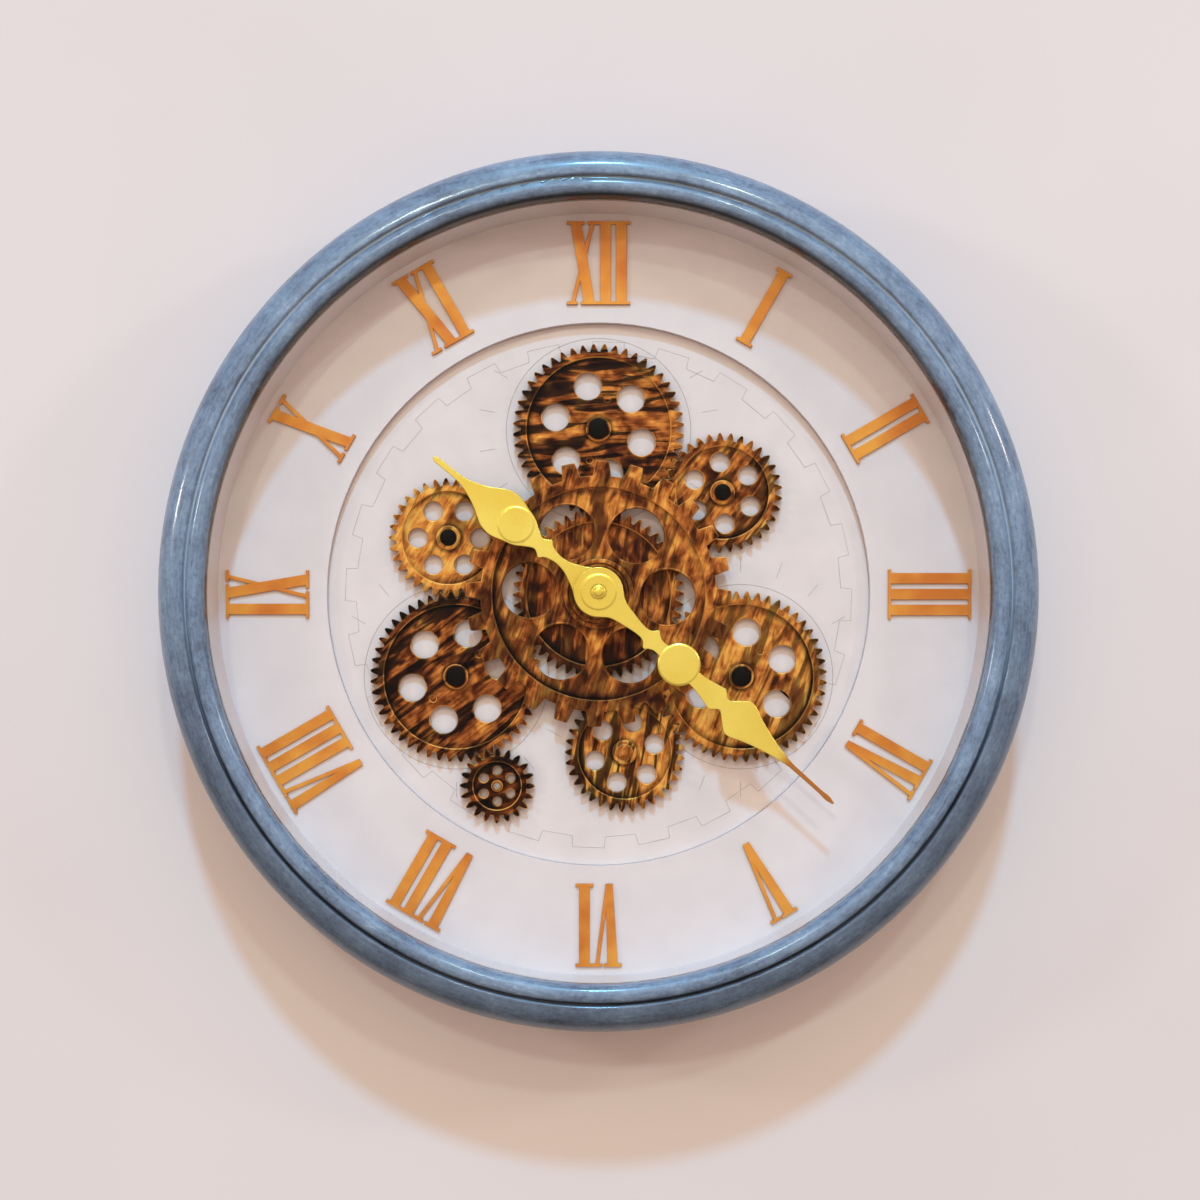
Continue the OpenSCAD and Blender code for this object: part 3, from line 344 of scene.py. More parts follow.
white_abs = moulded_plastic("white_abs_polished", "#D6D2D5", "#DCD8DB", 30 * MM, 1.2 * MM, 0.03 * MM, 0.38)
dial_film = moulded_plastic("matt_printed_film", "#D6D1D2", "#DDD8D9", 22 * MM, 0.5 * MM, 0.01 * MM, 0.5)
black_abs = moulded_plastic(
    "black_abs_spark_eroded", "#1D1D1F", "#272729", 18 * MM, 0.7 * MM, 0.06 * MM, 0.46, 0.16,
)
pale_abs = moulded_plastic("ivory_abs_moulded", "#DDD6C6", "#E6E0D2", 9 * MM, 0.6 * MM, 0.03 * MM, 0.4)
rubber = moulded_plastic(
    "black_rubber_die_cut", "#19191A", "#232324", 6 * MM, 0.35 * MM, 0.05 * MM, 0.72, 0.12,
)
cap_paint = moulded_plastic(
    "black_caps_painted_abs", "#070403", "#100906", 4 * MM, 0.8 * MM, 0.02 * MM, 0.34, 0.08, 0.06,
)
ink = moulded_plastic("grey_ink_screen_printed", "#9A9796", "#B2AFAF", 3 * MM, 0.3 * MM, 0.004 * MM, 0.55)
print("seven plastics, rubbers and inks")

# %% [markdown]
# ## Antique bronze, wheel by wheel
#
# Each wheel is bronze coloured metal paint over a moulded blank, brushed one way while a dark brown
# wash was still wet. Three layers of noise make it: long soft bands of wash, fine streaks, and a
# mottle under both. Each wheel has its own stroke direction, its own dark side and its own mood, from
# golden to nearly black. The wash also stands on the teeth and painted shade in the corner of the rim
# and round the hub, both more thickly on the dark side, and painted shade darkens the side walls. The
# raised edges are rubbed bright, which also paints in the highlights that they catch. Half of the shine
# is metal flake and half is binder, so the paint is only partly metallic, and its binder is dull.

# %% Make the brushed bronze
STROKES = {        # along the brush, across it, detail, distortion
    "bands": (40 * MM, 6 * MM, 2.0, 0.8),
    "streaks": (17 * MM, 1.2 * MM, 2.0, 0.25),
    "mottle": (11 * MM, 7 * MM, 3.0, 0.4),
}
BRONZE_RAMP = (
    (0.3, "#1C0803"), (0.4, "#431C09"), (0.47, "#723711"), (0.53, "#A05826"), (0.6, "#C97D36"),
    (0.68, "#E6A54A"), (0.78, "#F2C060"),
)
DARKER_SIDE = 0.07
# A bright rubbed tone, which also paints the highlights along the edges.
WORN_AND_LIT = "#EDA750"


def bronze(name, pivot, tip_r, brush, mood, wash, dark_side, banding, seed):
    """Bronze paint whose brush strokes run along a direction in degrees, with a wash and painted shade
    given as (radius, shade) pairs.

    A higher mood is more golden. The dark side is a direction on the dial, in degrees from twelve, and
    banding is how dark the bands of wash are. The seed shifts the noise.
    """
    made, tree, shader = new_material(name)
    coords = add(tree, "ShaderNodeTexCoord")
    wheel = add(tree, "ShaderNodeMapping", {
        "Vector": coords.outputs["Object"], "Location": (pivot.x, seed, pivot.z),
    }, vector_type="TEXTURE")
    spot = add(tree, "ShaderNodeMapping", {"Vector": wheel, "Rotation": (0, math.radians(brush), 0)})
    layer = {}
    for stroke, (length, width, detail, drift) in STROKES.items():
        layer[stroke] = add(tree, "ShaderNodeTexNoise", {
            "Vector": add(tree, "ShaderNodeMapping", {
                "Vector": spot, "Scale": (1 / length, 1 / width, 1 / width),
            }),
            "Scale": 1.0, "Detail": detail, "Roughness": 0.55, "Distortion": drift,
        }).outputs[0]
    away = math.radians(dark_side)
    side = add(tree, "ShaderNodeVectorMath", [
        wheel, (math.sin(away) / tip_r, 0, math.cos(away) / tip_r),
    ], operation="DOT_PRODUCT").outputs["Value"]
    tone = add(tree, "ShaderNodeMath", [
        layer["streaks"], 0.3,
        add(tree, "ShaderNodeMath", [layer["mottle"], 0.7, mood], operation="MULTIPLY_ADD"),
    ], operation="MULTIPLY_ADD")
    paint = add(tree, "ShaderNodeValToRGB", {"Fac": tone}, stops=BRONZE_RAMP)
    band = add(tree, "ShaderNodeMath", [
        side, DARKER_SIDE,
        add(tree, "ShaderNodeMath", [layer["streaks"], 0.25, layer["bands"]], operation="MULTIPLY_ADD"),
    ], operation="MULTIPLY_ADD")
    unbanded = add(tree, "ShaderNodeMapRange", {
        "Value": band, "From Min": 0.6, "From Max": 0.7, "To Min": 1.0, "To Max": 1 - banding,
    }, interpolation_type="SMOOTHSTEP")
    flat = add(tree, "ShaderNodeVectorMath", [wheel, (1, 0, 1)], operation="MULTIPLY")
    radius = add(tree, "ShaderNodeVectorMath", [flat], operation="LENGTH").outputs["Value"]
    share = add(tree, "ShaderNodeMath", [radius, tip_r], operation="DIVIDE")
    # The wash by radius, with painted shade in the corners of the hub and the rim, thicker on the dark
    # side.
    wash_and_shade = add(tree, "ShaderNodeValToRGB", {
        "Fac": share,
    }, stops=tuple((r / tip_r, shade) for r, shade in wash))
    thick = add(tree, "ShaderNodeMapRange", {
        "Value": side, "From Min": -0.6, "From Max": 0.5, "To Min": 0.4, "To Max": 1.0,
    })
    wash_and_shade = add(tree, "ShaderNodeMix", {
        "Factor": thick, "A": linear(1.0), "B": wash_and_shade.outputs["Color"],
    }, data_type="RGBA")
    facing = add(tree, "ShaderNodeMath", [
        add(tree, "ShaderNodeSeparateXYZ", {"Vector": coords.outputs["Normal"]}).outputs["Y"],
    ], operation="ABSOLUTE")
    # Painted shade: side walls that face away from the front are darker.
    painted_wall_shade = add(tree, "ShaderNodeMapRange", {
        "Value": facing, "From Min": 0.05, "From Max": 0.5, "To Min": 0.45, "To Max": 1.0,
    })
    dimmed = add(tree, "ShaderNodeMath", [
        add(tree, "ShaderNodeMath", [wash_and_shade, painted_wall_shade], operation="MULTIPLY"), unbanded,
    ], operation="MULTIPLY")
    washed = add(tree, "ShaderNodeMix", {
        "Factor": 1.0, "A": paint, "B": dimmed,
    }, data_type="RGBA", blend_type="MULTIPLY")
    # Rubbed edges: wear, and also painted highlights on the bevels that catch light.
    on_edge = add(tree, "ShaderNodeMath", [
        add(tree, "ShaderNodeMapRange", {
            "Value": facing, "From Min": 0.99, "From Max": 0.88,
        }, **SOFT_STEP),
        add(tree, "ShaderNodeMapRange", {
            "Value": facing, "From Min": 0.02, "From Max": 0.25,
        }, **SOFT_STEP),
    ], operation="MULTIPLY")
    rubbed_and_lit = add(tree, "ShaderNodeMath", [
        on_edge, add(tree, "ShaderNodeMath", [unbanded, 0.75, 0.15], operation="MULTIPLY_ADD"),
    ], operation="MULTIPLY")
    feed(tree, shader, {
        "Base Color": add(tree, "ShaderNodeMix", {
            "Factor": rubbed_and_lit, "A": washed, "B": linear(WORN_AND_LIT),
        }, data_type="RGBA"),
        "Metallic": 0.5, "Specular IOR Level": 0.12,
        "Roughness": add(tree, "ShaderNodeMapRange", {
            "Value": tone, "From Min": 0.4, "From Max": 0.62, "To Min": 0.5, "To Max": 0.34,
        }),
        "Normal": add(tree, "ShaderNodeBump", {"Height": tone, "Strength": 0.5, "Distance": 0.25 * MM}),
    })
    return made


print("strokes", {stroke: (round(l / MM, 1), round(w / MM, 1)) for stroke, (l, w, _, _) in STROKES.items()})

# %% [markdown]
# ## Gold, brass and zinc
#
# The hands are stamped sheet with a satin gold plate, the numerals are stamped plastic under a hot gold
# film, the bush and its nuts are turned brass, and the screws and plates are zinc plated steel. Metals
# keep the default IOR; what tells them apart is the colour, the roughness and the grain: none on
# plated gold, drifting colour on film, rings on turned brass, and a spangle on zinc.


# %% Make the smooth metals
SATIN = 0.35 * MM


def metal(name, dark, light, grain, rough, stretch=(1, 1, 1), relief=0.01 * MM, edge=1.0, metallic=1.0):
    """A metal whose colour drifts between two tones over a stretched grain; edge is the painted shade on
    each side wall.
    """
    made, tree, shader = new_material(name)
    coords = add(tree, "ShaderNodeTexCoord")
    spot = coords.outputs["Object"]
    drift = add(tree, "ShaderNodeTexNoise", {
        "Vector": add(tree, "ShaderNodeMapping", {
            "Vector": spot, "Scale": tuple(s / grain for s in stretch),
        }),
        "Scale": 1.0, "Detail": 3.0, "Roughness": 0.55,
    })
    satin = add(tree, "ShaderNodeTexNoise", {"Vector": spot, "Scale": 1 / SATIN, "Detail": 1.0})
    facing = add(tree, "ShaderNodeMath", [
        add(tree, "ShaderNodeSeparateXYZ", {"Vector": coords.outputs["Normal"]}).outputs["Y"],
    ], operation="ABSOLUTE")
    # Painted shade: side walls that face away from the front are darker.
    wall_shade = add(tree, "ShaderNodeMapRange", {
        "Value": facing, "From Min": 0.2, "From Max": 0.6, "To Min": edge, "To Max": 1.0,
    })
    colour = add(tree, "ShaderNodeMix", {
        "Factor": 1.0,
        "A": add(tree, "ShaderNodeValToRGB", {"Fac": drift}, stops=((0.32, dark), (0.68, light))),
        "B": wall_shade,
    }, data_type="RGBA", blend_type="MULTIPLY")
    feed(tree, shader, {
        "Base Color": colour,
        "Metallic": metallic,
        "Roughness": add(tree, "ShaderNodeMapRange", {
            "Value": satin, "From Min": 0.3, "From Max": 0.7, "To Min": rough, "To Max": rough + 0.07,
        }),
        "Normal": add(tree, "ShaderNodeBump", {"Height": satin, "Strength": 0.2, "Distance": relief}),
    })
    return made


# The edge values paint shade on the side walls of the hands and the numerals.
gold_plate = metal("gold_plate_satin", "#E9C54C", "#F4DB66", 55 * MM, 0.26, edge=0.8, metallic=0.8)
gold_film = metal("gold_film_hot_stamped", "#CC7222", "#E8A03C", 26 * MM, 0.36, edge=0.45, metallic=0.4)
turned_brass = metal("brass_turned", "#A9853F", "#D0AE62", 3 * MM, 0.26, relief=0.02 * MM)
zinc = metal("steel_zinc_plated", "#8F969B", "#B9BDC0", 5 * MM, 0.32)
bright_steel = metal("steel_bright_drawn", "#8A8D90", "#B4B7BA", 2 * MM, 0.24, stretch=(1, 0.1, 1))
print("five metals")

# %% [markdown]
# The long needle of the minute hand shows orange brown. It is the only plated part that far from the
# axis, so the colour changes with the distance from it.

# %% Turn the minute hand's needle orange brown
NEEDLE_FROM, NEEDLE_TO = 136 * MM, 147 * MM
tree = gold_plate.node_tree
shader = tree.nodes["Principled BSDF"]
flat = add(tree, "ShaderNodeVectorMath", [
    add(tree, "ShaderNodeTexCoord").outputs["Object"], (1, 0, 1),
], operation="MULTIPLY")
away = add(tree, "ShaderNodeVectorMath", [
    flat, (axis.x, 0, axis.z),
], operation="DISTANCE").outputs["Value"]
plated = shader.inputs["Base Color"].links[0].from_socket
feed(tree, shader, {
    "Base Color": add(tree, "ShaderNodeMix", {
        "Factor": add(tree, "ShaderNodeMapRange", {
            "Value": away, "From Min": NEEDLE_FROM, "From Max": NEEDLE_TO,
        }, **SOFT_STEP),
        "A": plated, "B": linear("#B87430"),
    }, data_type="RGBA"),
})
print("thin past", NEEDLE_FROM / MM, "mm")

# %% [markdown]
# ## Clear glass
#
# The glazing is 3 mm float glass with the coating of picture glass, which lets no veil of light lie on
# the dial. Refraction through two flat faces shifts the view by well under a pixel, so each outer
# face is a weak mirror that follows Fresnel's law, for the low index of the coating, and lets the rest
# straight through. The lamps then light the dial through it without caustics.


# %% Make the glass
COATING_IOR = 1.13


def float_glass():
    made, tree, shader = new_material("float_glass_clear")
    tree.nodes.remove(shader)
    inside = add(tree, "ShaderNodeNewGeometry").outputs["Backfacing"]
    outer = add(tree, "ShaderNodeMath", [
        add(tree, "ShaderNodeFresnel", {"IOR": COATING_IOR}),
        add(tree, "ShaderNodeMath", [1.0, inside], operation="SUBTRACT"),
    ], operation="MULTIPLY")
    mixed = add(tree, "ShaderNodeMixShader", [
        outer, add(tree, "ShaderNodeBsdfTransparent", {"Color": linear("#FEFEFE")}),
        add(tree, "ShaderNodeBsdfGlossy", {"Color": linear("#FFFFFF"), "Roughness": 0.02}),
    ])
    feed(tree, tree.nodes["Material Output"], {"Surface": mixed})
    return made


clear_glass = float_glass()
print(clear_glass.name)

# %% [markdown]
# ## Putting a finish on a CAD piece
#
# A CAD node whose shape is right keeps its mesh and only gets a material. Where light should catch an
# edge, the node is copied, the copy's loose triangles are merged, and a small bevel eases its edges.
# The copy then stands for the node. Weighted normals keep the flat faces flat after the bevel.


# %% Helpers that finish a CAD node
def finish(names, material):
    """Gives one material to CAD nodes that keep their own mesh."""
    for name in names:
        nodes[name].data.materials.clear()
        nodes[name].data.materials.append(material)
    print(material.name, "on", ", ".join(names))


def shade(mesh, sharp=35):
    """Smooth shading that stops at edges sharper than the angle."""
    mesh.polygons.foreach_set("use_smooth", [True] * len(mesh.polygons))
    mesh.set_sharp_from_angle(angle=math.radians(sharp))


def settle(piece, body, material=None, stands_for=()):
    """Gives a finished piece its material, its body and the nodes that it stands for."""
    if material:
        piece.data.materials.clear()
        piece.data.materials.append(material)
    if stands_for:
        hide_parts(*stands_for)
    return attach(piece, body)


def as_object(name, mesh):
    made = bpy.data.objects.new(name, mesh)
    bpy.context.scene.collection.objects.link(made)
    return made


def baked(piece):
    """The piece's mesh with its modifiers worked in, and no modifier left on it."""
    bpy.context.view_layer.update()
    result = bpy.data.meshes.new_from_object(piece.evaluated_get(bpy.context.evaluated_depsgraph_get()))
    piece.modifiers.clear()
    piece.data = result
    return piece


MERGE = 0.001 * MM
SHARP = math.radians(32)


def merged(node):
    """A copy of a CAD node with its triangles joined and its flat faces made whole."""
    work = bmesh.new()
    work.from_mesh(nodes[node].data)
    bmesh.ops.remove_doubles(work, verts=work.verts, dist=MERGE)
    bmesh.ops.dissolve_limit(work, angle_limit=math.radians(0.6), verts=work.verts, edges=work.edges)
    mesh = bpy.data.meshes.new(node + "_eased")
    work.to_mesh(mesh)
    work.free()
    return mesh


def soften(piece, width, steps=2, share_at=None, sharp=SHARP):
    """Rounds a piece's sharp outer edges by that width, or by a share of it for each edge's middle."""
    mesh = piece.data
    work = bmesh.new()
    work.from_mesh(mesh)
    weights = work.edges.layers.float.new("bevel_weight_edge")
    for edge in work.edges:
        if edge.calc_face_angle(0) > sharp and edge.is_convex:
            middle = (edge.verts[0].co + edge.verts[1].co) / 2
            edge[weights] = share_at(middle) if share_at else 1.0
    work.to_mesh(mesh)
    work.free()
    bevel = piece.modifiers.new("Eased edges", "BEVEL")
    bevel.width = width
    bevel.segments = steps
    bevel.limit_method = "WEIGHT"
    bevel.use_clamp_overlap = False
    baked(piece)
    shade(piece.data)
    flat = piece.modifiers.new("Flat faces stay flat", "WEIGHTED_NORMAL")
    flat.keep_sharp = True
    return baked(piece)


def eased(node, width, material, steps=2, share_at=None, sharp=SHARP):
    """A copy of a CAD node with its sharp edges rounded, standing for the node."""
    piece = soften(as_object(node + "_eased", merged(node)), width, steps, share_at, sharp)
    return settle(piece, nodes[node]["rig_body"], material, [node])


print("helpers ready")

# %% [markdown]
# ## The painted ring
#
# The ring is one shell with two beads and a sharp crease between them. The lacquer pooled in the top
# of the crease and fills it, so no line shows there, as in the photograph. So the ring is copied, and
# the points of its front that lie near the crease, and deeper than the pool's level, are lifted to it.
# The level sinks away to both sides.

# %% Fill the top of the crease
POOL_DEPTH = 1.25 * MM
POOL_SPAN = 0.55        # the height on a ring of radius 1 where the pool has its full depth
POOL_WIDTH = 5 * MM
SLACK = 0.3 * MM
ring = as_object("bezel_ring_lacquered", merged("bezel_ring"))
raised = 0
for vertex in ring.data.vertices:
    across, rise = vertex.co.x - axis.x, vertex.co.z - axis.z
    radius = math.hypot(across, rise)
    share = min(max(rise / radius / POOL_SPAN, 0.0), 1.0)
    level = CREASE[1] + POOL_DEPTH * share * share * (3 - 2 * share)
    near = -POOL_WIDTH < radius - CREASE[0] < SLACK
    if near and CREASE[1] - SLACK / 3 < -vertex.co.y < level:
        vertex.co.y = -level
        raised += 1
shade(ring.data)
settle(ring, nodes["bezel_ring"]["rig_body"], ring_lacquer, ["bezel_ring"])
print("raised", raised, "points of the crease")

# %% [markdown]
# ## The dial, the glass and the small turned parts
#
# These pieces are true in CAD, so they keep their mesh and only take their finish. The gasket is the
# black line that shows under the ring's lip.

# %% Finish the pieces that keep their mesh
finish(["glass_gasket", "movement_washer"], rubber)
finish(["front_glass"], clear_glass)
finish(["side_liner", "chapter_ring", "dial_board"], white_abs)
finish(["inner_dial"], dial_film)
finish(["rear_cover", "back_spacer"], black_abs)
finish(["centre_sleeve", "sleeve_washer", "bush_nut", "movement_bush", "hour_tube"], turned_brass)
finish(["gear_studs", "pinion_shaft", "minute_shaft"], bright_steel)

# %% [markdown]
# ## The spur wheels
#
# Eight spur wheels turn in the train. Their teeth come from CAD, where the mesh of the teeth is
# worked out, so Blender only eases the edges, which then catch a thin line of light, and paints each
# wheel. The wash radii follow the wheel: cap, hub ring, foot of the rim, and root of the teeth.

# %% Finish the spur wheels
EDGE = 0.8 * MM
TOOTH_SHARE = 0.5
LARGE_CAP = 5.9
SMALL_CAP = 4.8


def spur_wash_and_shade(tip, web, root, hub, cap):
    """The wash of a spur wheel, with painted shade at the foot of the hub and of the rim; light on the rim,
    dark on the teeth.
    """
    # The dark stops round the hub's foot and at the web's edge are painted shade in those corners.
    return (
        (cap, 0.2), (cap + 0.2 * MM, 1.0), (hub - 0.4 * MM, 0.9), (hub, 0.1), (hub + 0.9 * MM, 0.15),
        (hub + 2.4 * MM, 1.0), (web - 4.0 * MM, 1.0), (web - 2.0 * MM, 0.4), (web - 0.9 * MM, 0.05),
        (web - 0.1 * MM, 0.05), (web + 0.3 * MM, 1.0), (root - 0.5 * MM, 1.0), (root + 0.8 * MM, 0.35),
        (tip, 0.2),
    )


def wheel_kind(*radii):
    """A size of wheel, from the radii in mm of its tips, web, roots, hub and cap."""
    tip, _, root, _, _ = radii
    return dict(tip_r=tip * MM, root_r=root * MM, wash=spur_wash_and_shade(*(r * MM for r in radii)))


LARGE = wheel_kind(49.9, 41.9, 45.5, 7.3, LARGE_CAP)
SMALL = wheel_kind(34.9, 26.9, 30.5, 7.2, SMALL_CAP)
PINION = wheel_kind(21.9, 13.9, 17.5, 3.4, 1.6)
SPUR_WHEELS = (        # node, body, size, brush, mood, dark side, banding, seed
    ("top_gear", "top_train", LARGE, 3, 0.02, 290, 0.93, 0.11),
    ("right_gear", "right_train", LARGE, 68, 0.11, 120, 0.72, 0.22),
    ("lower_left_gear", "lower_left_train", LARGE, 38, 0.0, 310, 0.93, 0.33),
    ("upper_right_gear", "upper_right_train", SMALL, 52, 0.055, 130, 0.8, 0.44),
    ("bottom_gear", "bottom_train", SMALL, 80, 0.11, 250, 0.9, 0.55),
    ("left_gear", "left_train", SMALL, 60, 0.13, 90, 0.6, 0.66),
    ("drive_pinion", "pinion_train", PINION, 20, -0.08, 0, 0.85, 0.77),
    ("sun_gear", "centre_train", LARGE, 84, -0.02, 200, 0.8, 0.88),
)


def finish_spur_wheel(node, body, size, *look):
    """Paints a wheel of the train and eases its edges, more finely on its teeth."""
    pivot = pivots[body]
    brush, mood, *rest = look
    paint = bronze("antique_bronze_" + node, pivot, size["tip_r"], brush, mood, size["wash"], *rest)

    def share_at(place):
        on_teeth = math.hypot(place.x - pivot.x, place.z - pivot.z) > size["root_r"] - 0.2 * MM
        return TOOTH_SHARE if on_teeth else 1.0

    wheel = eased(node, EDGE, paint, 2, share_at)
    print(node, len(wheel.data.polygons), "faces")


for spur_wheel in SPUR_WHEELS:
    finish_spur_wheel(*spur_wheel)

# %% [markdown]
# ## The centre wheel, by rule
#
# The large wheel in front has square teeth, six round windows and a ringed hub. Its whole shape
# follows from a count and some radii, so Geometry Nodes build it: a circle with four points for each
# tooth is pulled to the tip and root radii, extruded, and then cut and joined with plain cylinders.
# Every size is a named input, and another wheel is a matter of other numbers.

# %% Build the tree of the centre wheel
CENTRE_WHEEL = {
    "Teeth": 24, "Thickness": 4 * MM, "Tip radius": 77.1 * MM, "Root radius": 68.4 * MM,
    "Tip width": 7.8 * MM, "Root width": 10.7 * MM, "First tooth": math.radians(1.7),
    "Rim radius": 61.8 * MM, "Web sink": 1.2 * MM, "Windows": 6, "Window radius": 16.1 * MM,
    "Window reach": 40 * MM, "First window": math.radians(33), "Collar width": 1.0 * MM,
    "Collar height": 0.4 * MM, "Hub radius": 20.2 * MM, "Hub ring width": 2.3 * MM,
    "Hub sink": 1.6 * MM, "Ridge radius": 16.9 * MM, "Ridge width": 1.1 * MM, "Ridge height": 0.7 * MM,
    "Boss radius": 13 * MM, "Boss length": 1.5 * MM, "Bore radius": 6.5 * MM,
}


def new_rule(name, values):
    """A Geometry Nodes tree with a named input for each value, and its input and output nodes."""
    tree = bpy.data.node_groups.new(name, "GeometryNodeTree")
    tree.interface.new_socket("Geometry", in_out="OUTPUT", socket_type="NodeSocketGeometry")
    for label, value in values.items():
        kind = {int: "NodeSocketInt", float: "NodeSocketFloat"}[type(value)]
        tree.interface.new_socket(label, in_out="INPUT", socket_type=kind)
    return tree, add(tree, "NodeGroupInput").outputs


def close_rule(tree, geometry, material):
    """Ends a tree: its instances become real geometry and take their material."""
    real = add(tree, "GeometryNodeRealizeInstances", {"Geometry": geometry})
    dressed = add(tree, "GeometryNodeSetMaterial", {"Geometry": real, "Material": material})
    add(tree, "NodeGroupOutput", {"Geometry": dressed})


def made_by(tree, name, values):
    """Runs a tree with these values on a new object and keeps the plain mesh."""
    piece = as_object(name, bpy.data.meshes.new(name))
    rule = piece.modifiers.new("Rule", "NODES")
    rule.node_group = tree
    for item in tree.interface.items_tree:
        if item.in_out == "INPUT":
            rule[item.identifier] = values[item.name]
    return baked(piece)


def drum(tree, radius, bottom, top, sides=144):
    """A cylinder along Z from one level to another, both of them sockets or values."""
    depth = add(tree, "ShaderNodeMath", [top, bottom], operation="SUBTRACT")
    both = add(tree, "ShaderNodeMath", [top, bottom], operation="ADD")
    middle = add(tree, "ShaderNodeMath", [both, 0.5], operation="MULTIPLY")
    solid = add(tree, "GeometryNodeMeshCylinder", {"Vertices": sides, "Radius": radius, "Depth": depth})
    return add(tree, "GeometryNodeTransform", {
        "Geometry": solid.outputs["Mesh"], "Translation": add(tree, "ShaderNodeCombineXYZ", {"Z": middle}),
    })


JOIN = {"operation": "UNION", "solver": "EXACT"}
CUT = {"operation": "DIFFERENCE", "solver": "EXACT"}
print(len(CENTRE_WHEEL), "inputs")

# %% [markdown]
# The blank starts as a circle of points. A point's number tells its tooth and its corner of that
# tooth, and from those two follow its distance from the axis and its place to the left or the right.


# %% Shape the toothed blank
def spread_round(tree, solid, count, place_r, first):
    """Copies of a solid at equal steps round the axis."""
    spots = add(tree, "GeometryNodeMeshCircle", {"Vertices": count, "Radius": place_r})
    turned = add(tree, "GeometryNodeTransform", {
        "Geometry": spots,
        "Rotation": add(tree, "ShaderNodeCombineXYZ", {
            "Z": add(tree, "ShaderNodeMath", [first, -1.0], operation="MULTIPLY"),
        }),
    })
    copies = add(tree, "GeometryNodeInstanceOnPoints", {"Points": turned, "Instance": solid})
    return add(tree, "GeometryNodeRealizeInstances", {"Geometry": copies})


def toothed(tree, sizes, fill):
    """A circle of points, four to a tooth, pulled to the tips and roots of square teeth."""
    corners = add(tree, "ShaderNodeMath", [sizes["Teeth"], 4.0], operation="MULTIPLY")
    circle = add(tree, "GeometryNodeMeshCircle", {"Vertices": corners, "Radius": 1.0}, fill_type=fill)
    index = add(tree, "GeometryNodeInputIndex")
    corner = add(tree, "ShaderNodeMath", [index, 4.0], operation="MODULO")
    tooth = add(tree, "ShaderNodeMath", [
        add(tree, "ShaderNodeMath", [index, 4.0], operation="DIVIDE"),
    ], operation="FLOOR")
    at_root = add(tree, "ShaderNodeMath", [
        add(tree, "ShaderNodeMath", [
            add(tree, "ShaderNodeMath", [corner, 1.5], operation="SUBTRACT"),
        ], operation="ABSOLUTE"),
        1.0,
    ], operation="GREATER_THAN")
    side = add(tree, "ShaderNodeMath", [
        add(tree, "ShaderNodeMath", [
            add(tree, "ShaderNodeMath", [corner, 1.5], operation="GREATER_THAN"), 2.0,
        ], operation="MULTIPLY"),
        1.0,
    ], operation="SUBTRACT")
    radial = add(tree, "ShaderNodeMapRange", {
        "Value": at_root, "To Min": sizes["Tip radius"], "To Max": sizes["Root radius"],
    })
    half = add(tree, "ShaderNodeMath", [
        add(tree, "ShaderNodeMapRange", {
            "Value": at_root, "To Min": sizes["Tip width"], "To Max": sizes["Root width"],
        }),
        0.5,
    ], operation="MULTIPLY")
    share = add(tree, "ShaderNodeMath", [
        add(tree, "ShaderNodeMath", [tooth, math.tau], operation="MULTIPLY"), sizes["Teeth"],
    ], operation="DIVIDE")
    turn = add(tree, "ShaderNodeMath", [share, sizes["First tooth"]], operation="SUBTRACT")
    upright = add(tree, "ShaderNodeCombineXYZ", {
        "X": radial, "Y": add(tree, "ShaderNodeMath", [half, side], operation="MULTIPLY"),
    })
    point = add(tree, "ShaderNodeVectorRotate", {"Vector": upright, "Angle": turn}, rotation_type="Z_AXIS")
    return add(tree, "GeometryNodeSetPosition", {"Geometry": circle, "Position": point})


def toothed_blank(tree, sizes):
    """A flat toothed face pulled into a solid of the wheel's thickness."""
    outline = toothed(tree, sizes, "NGON")
    raised = add(tree, "GeometryNodeExtrudeMesh", {
        "Mesh": outline, "Offset": (0, 0, 1), "Offset Scale": sizes["Thickness"], "Individual": False,
    })
    base = add(tree, "GeometryNodeFlipFaces", {"Mesh": outline})
    shell = add(tree, "GeometryNodeJoinGeometry", {"Geometry": [raised.outputs["Mesh"], base]})
    return add(tree, "GeometryNodeMergeByDistance", {"Geometry": shell, "Distance": MERGE})


print("four points to a tooth, so", 4 * CENTRE_WHEEL["Teeth"], "points")

# %% [markdown]
# The rest is cutting and joining: the web is sunk inside the rim, the windows get a low collar each,
# and the hub is a boss with a ring, a sunk floor and a ridge on it.


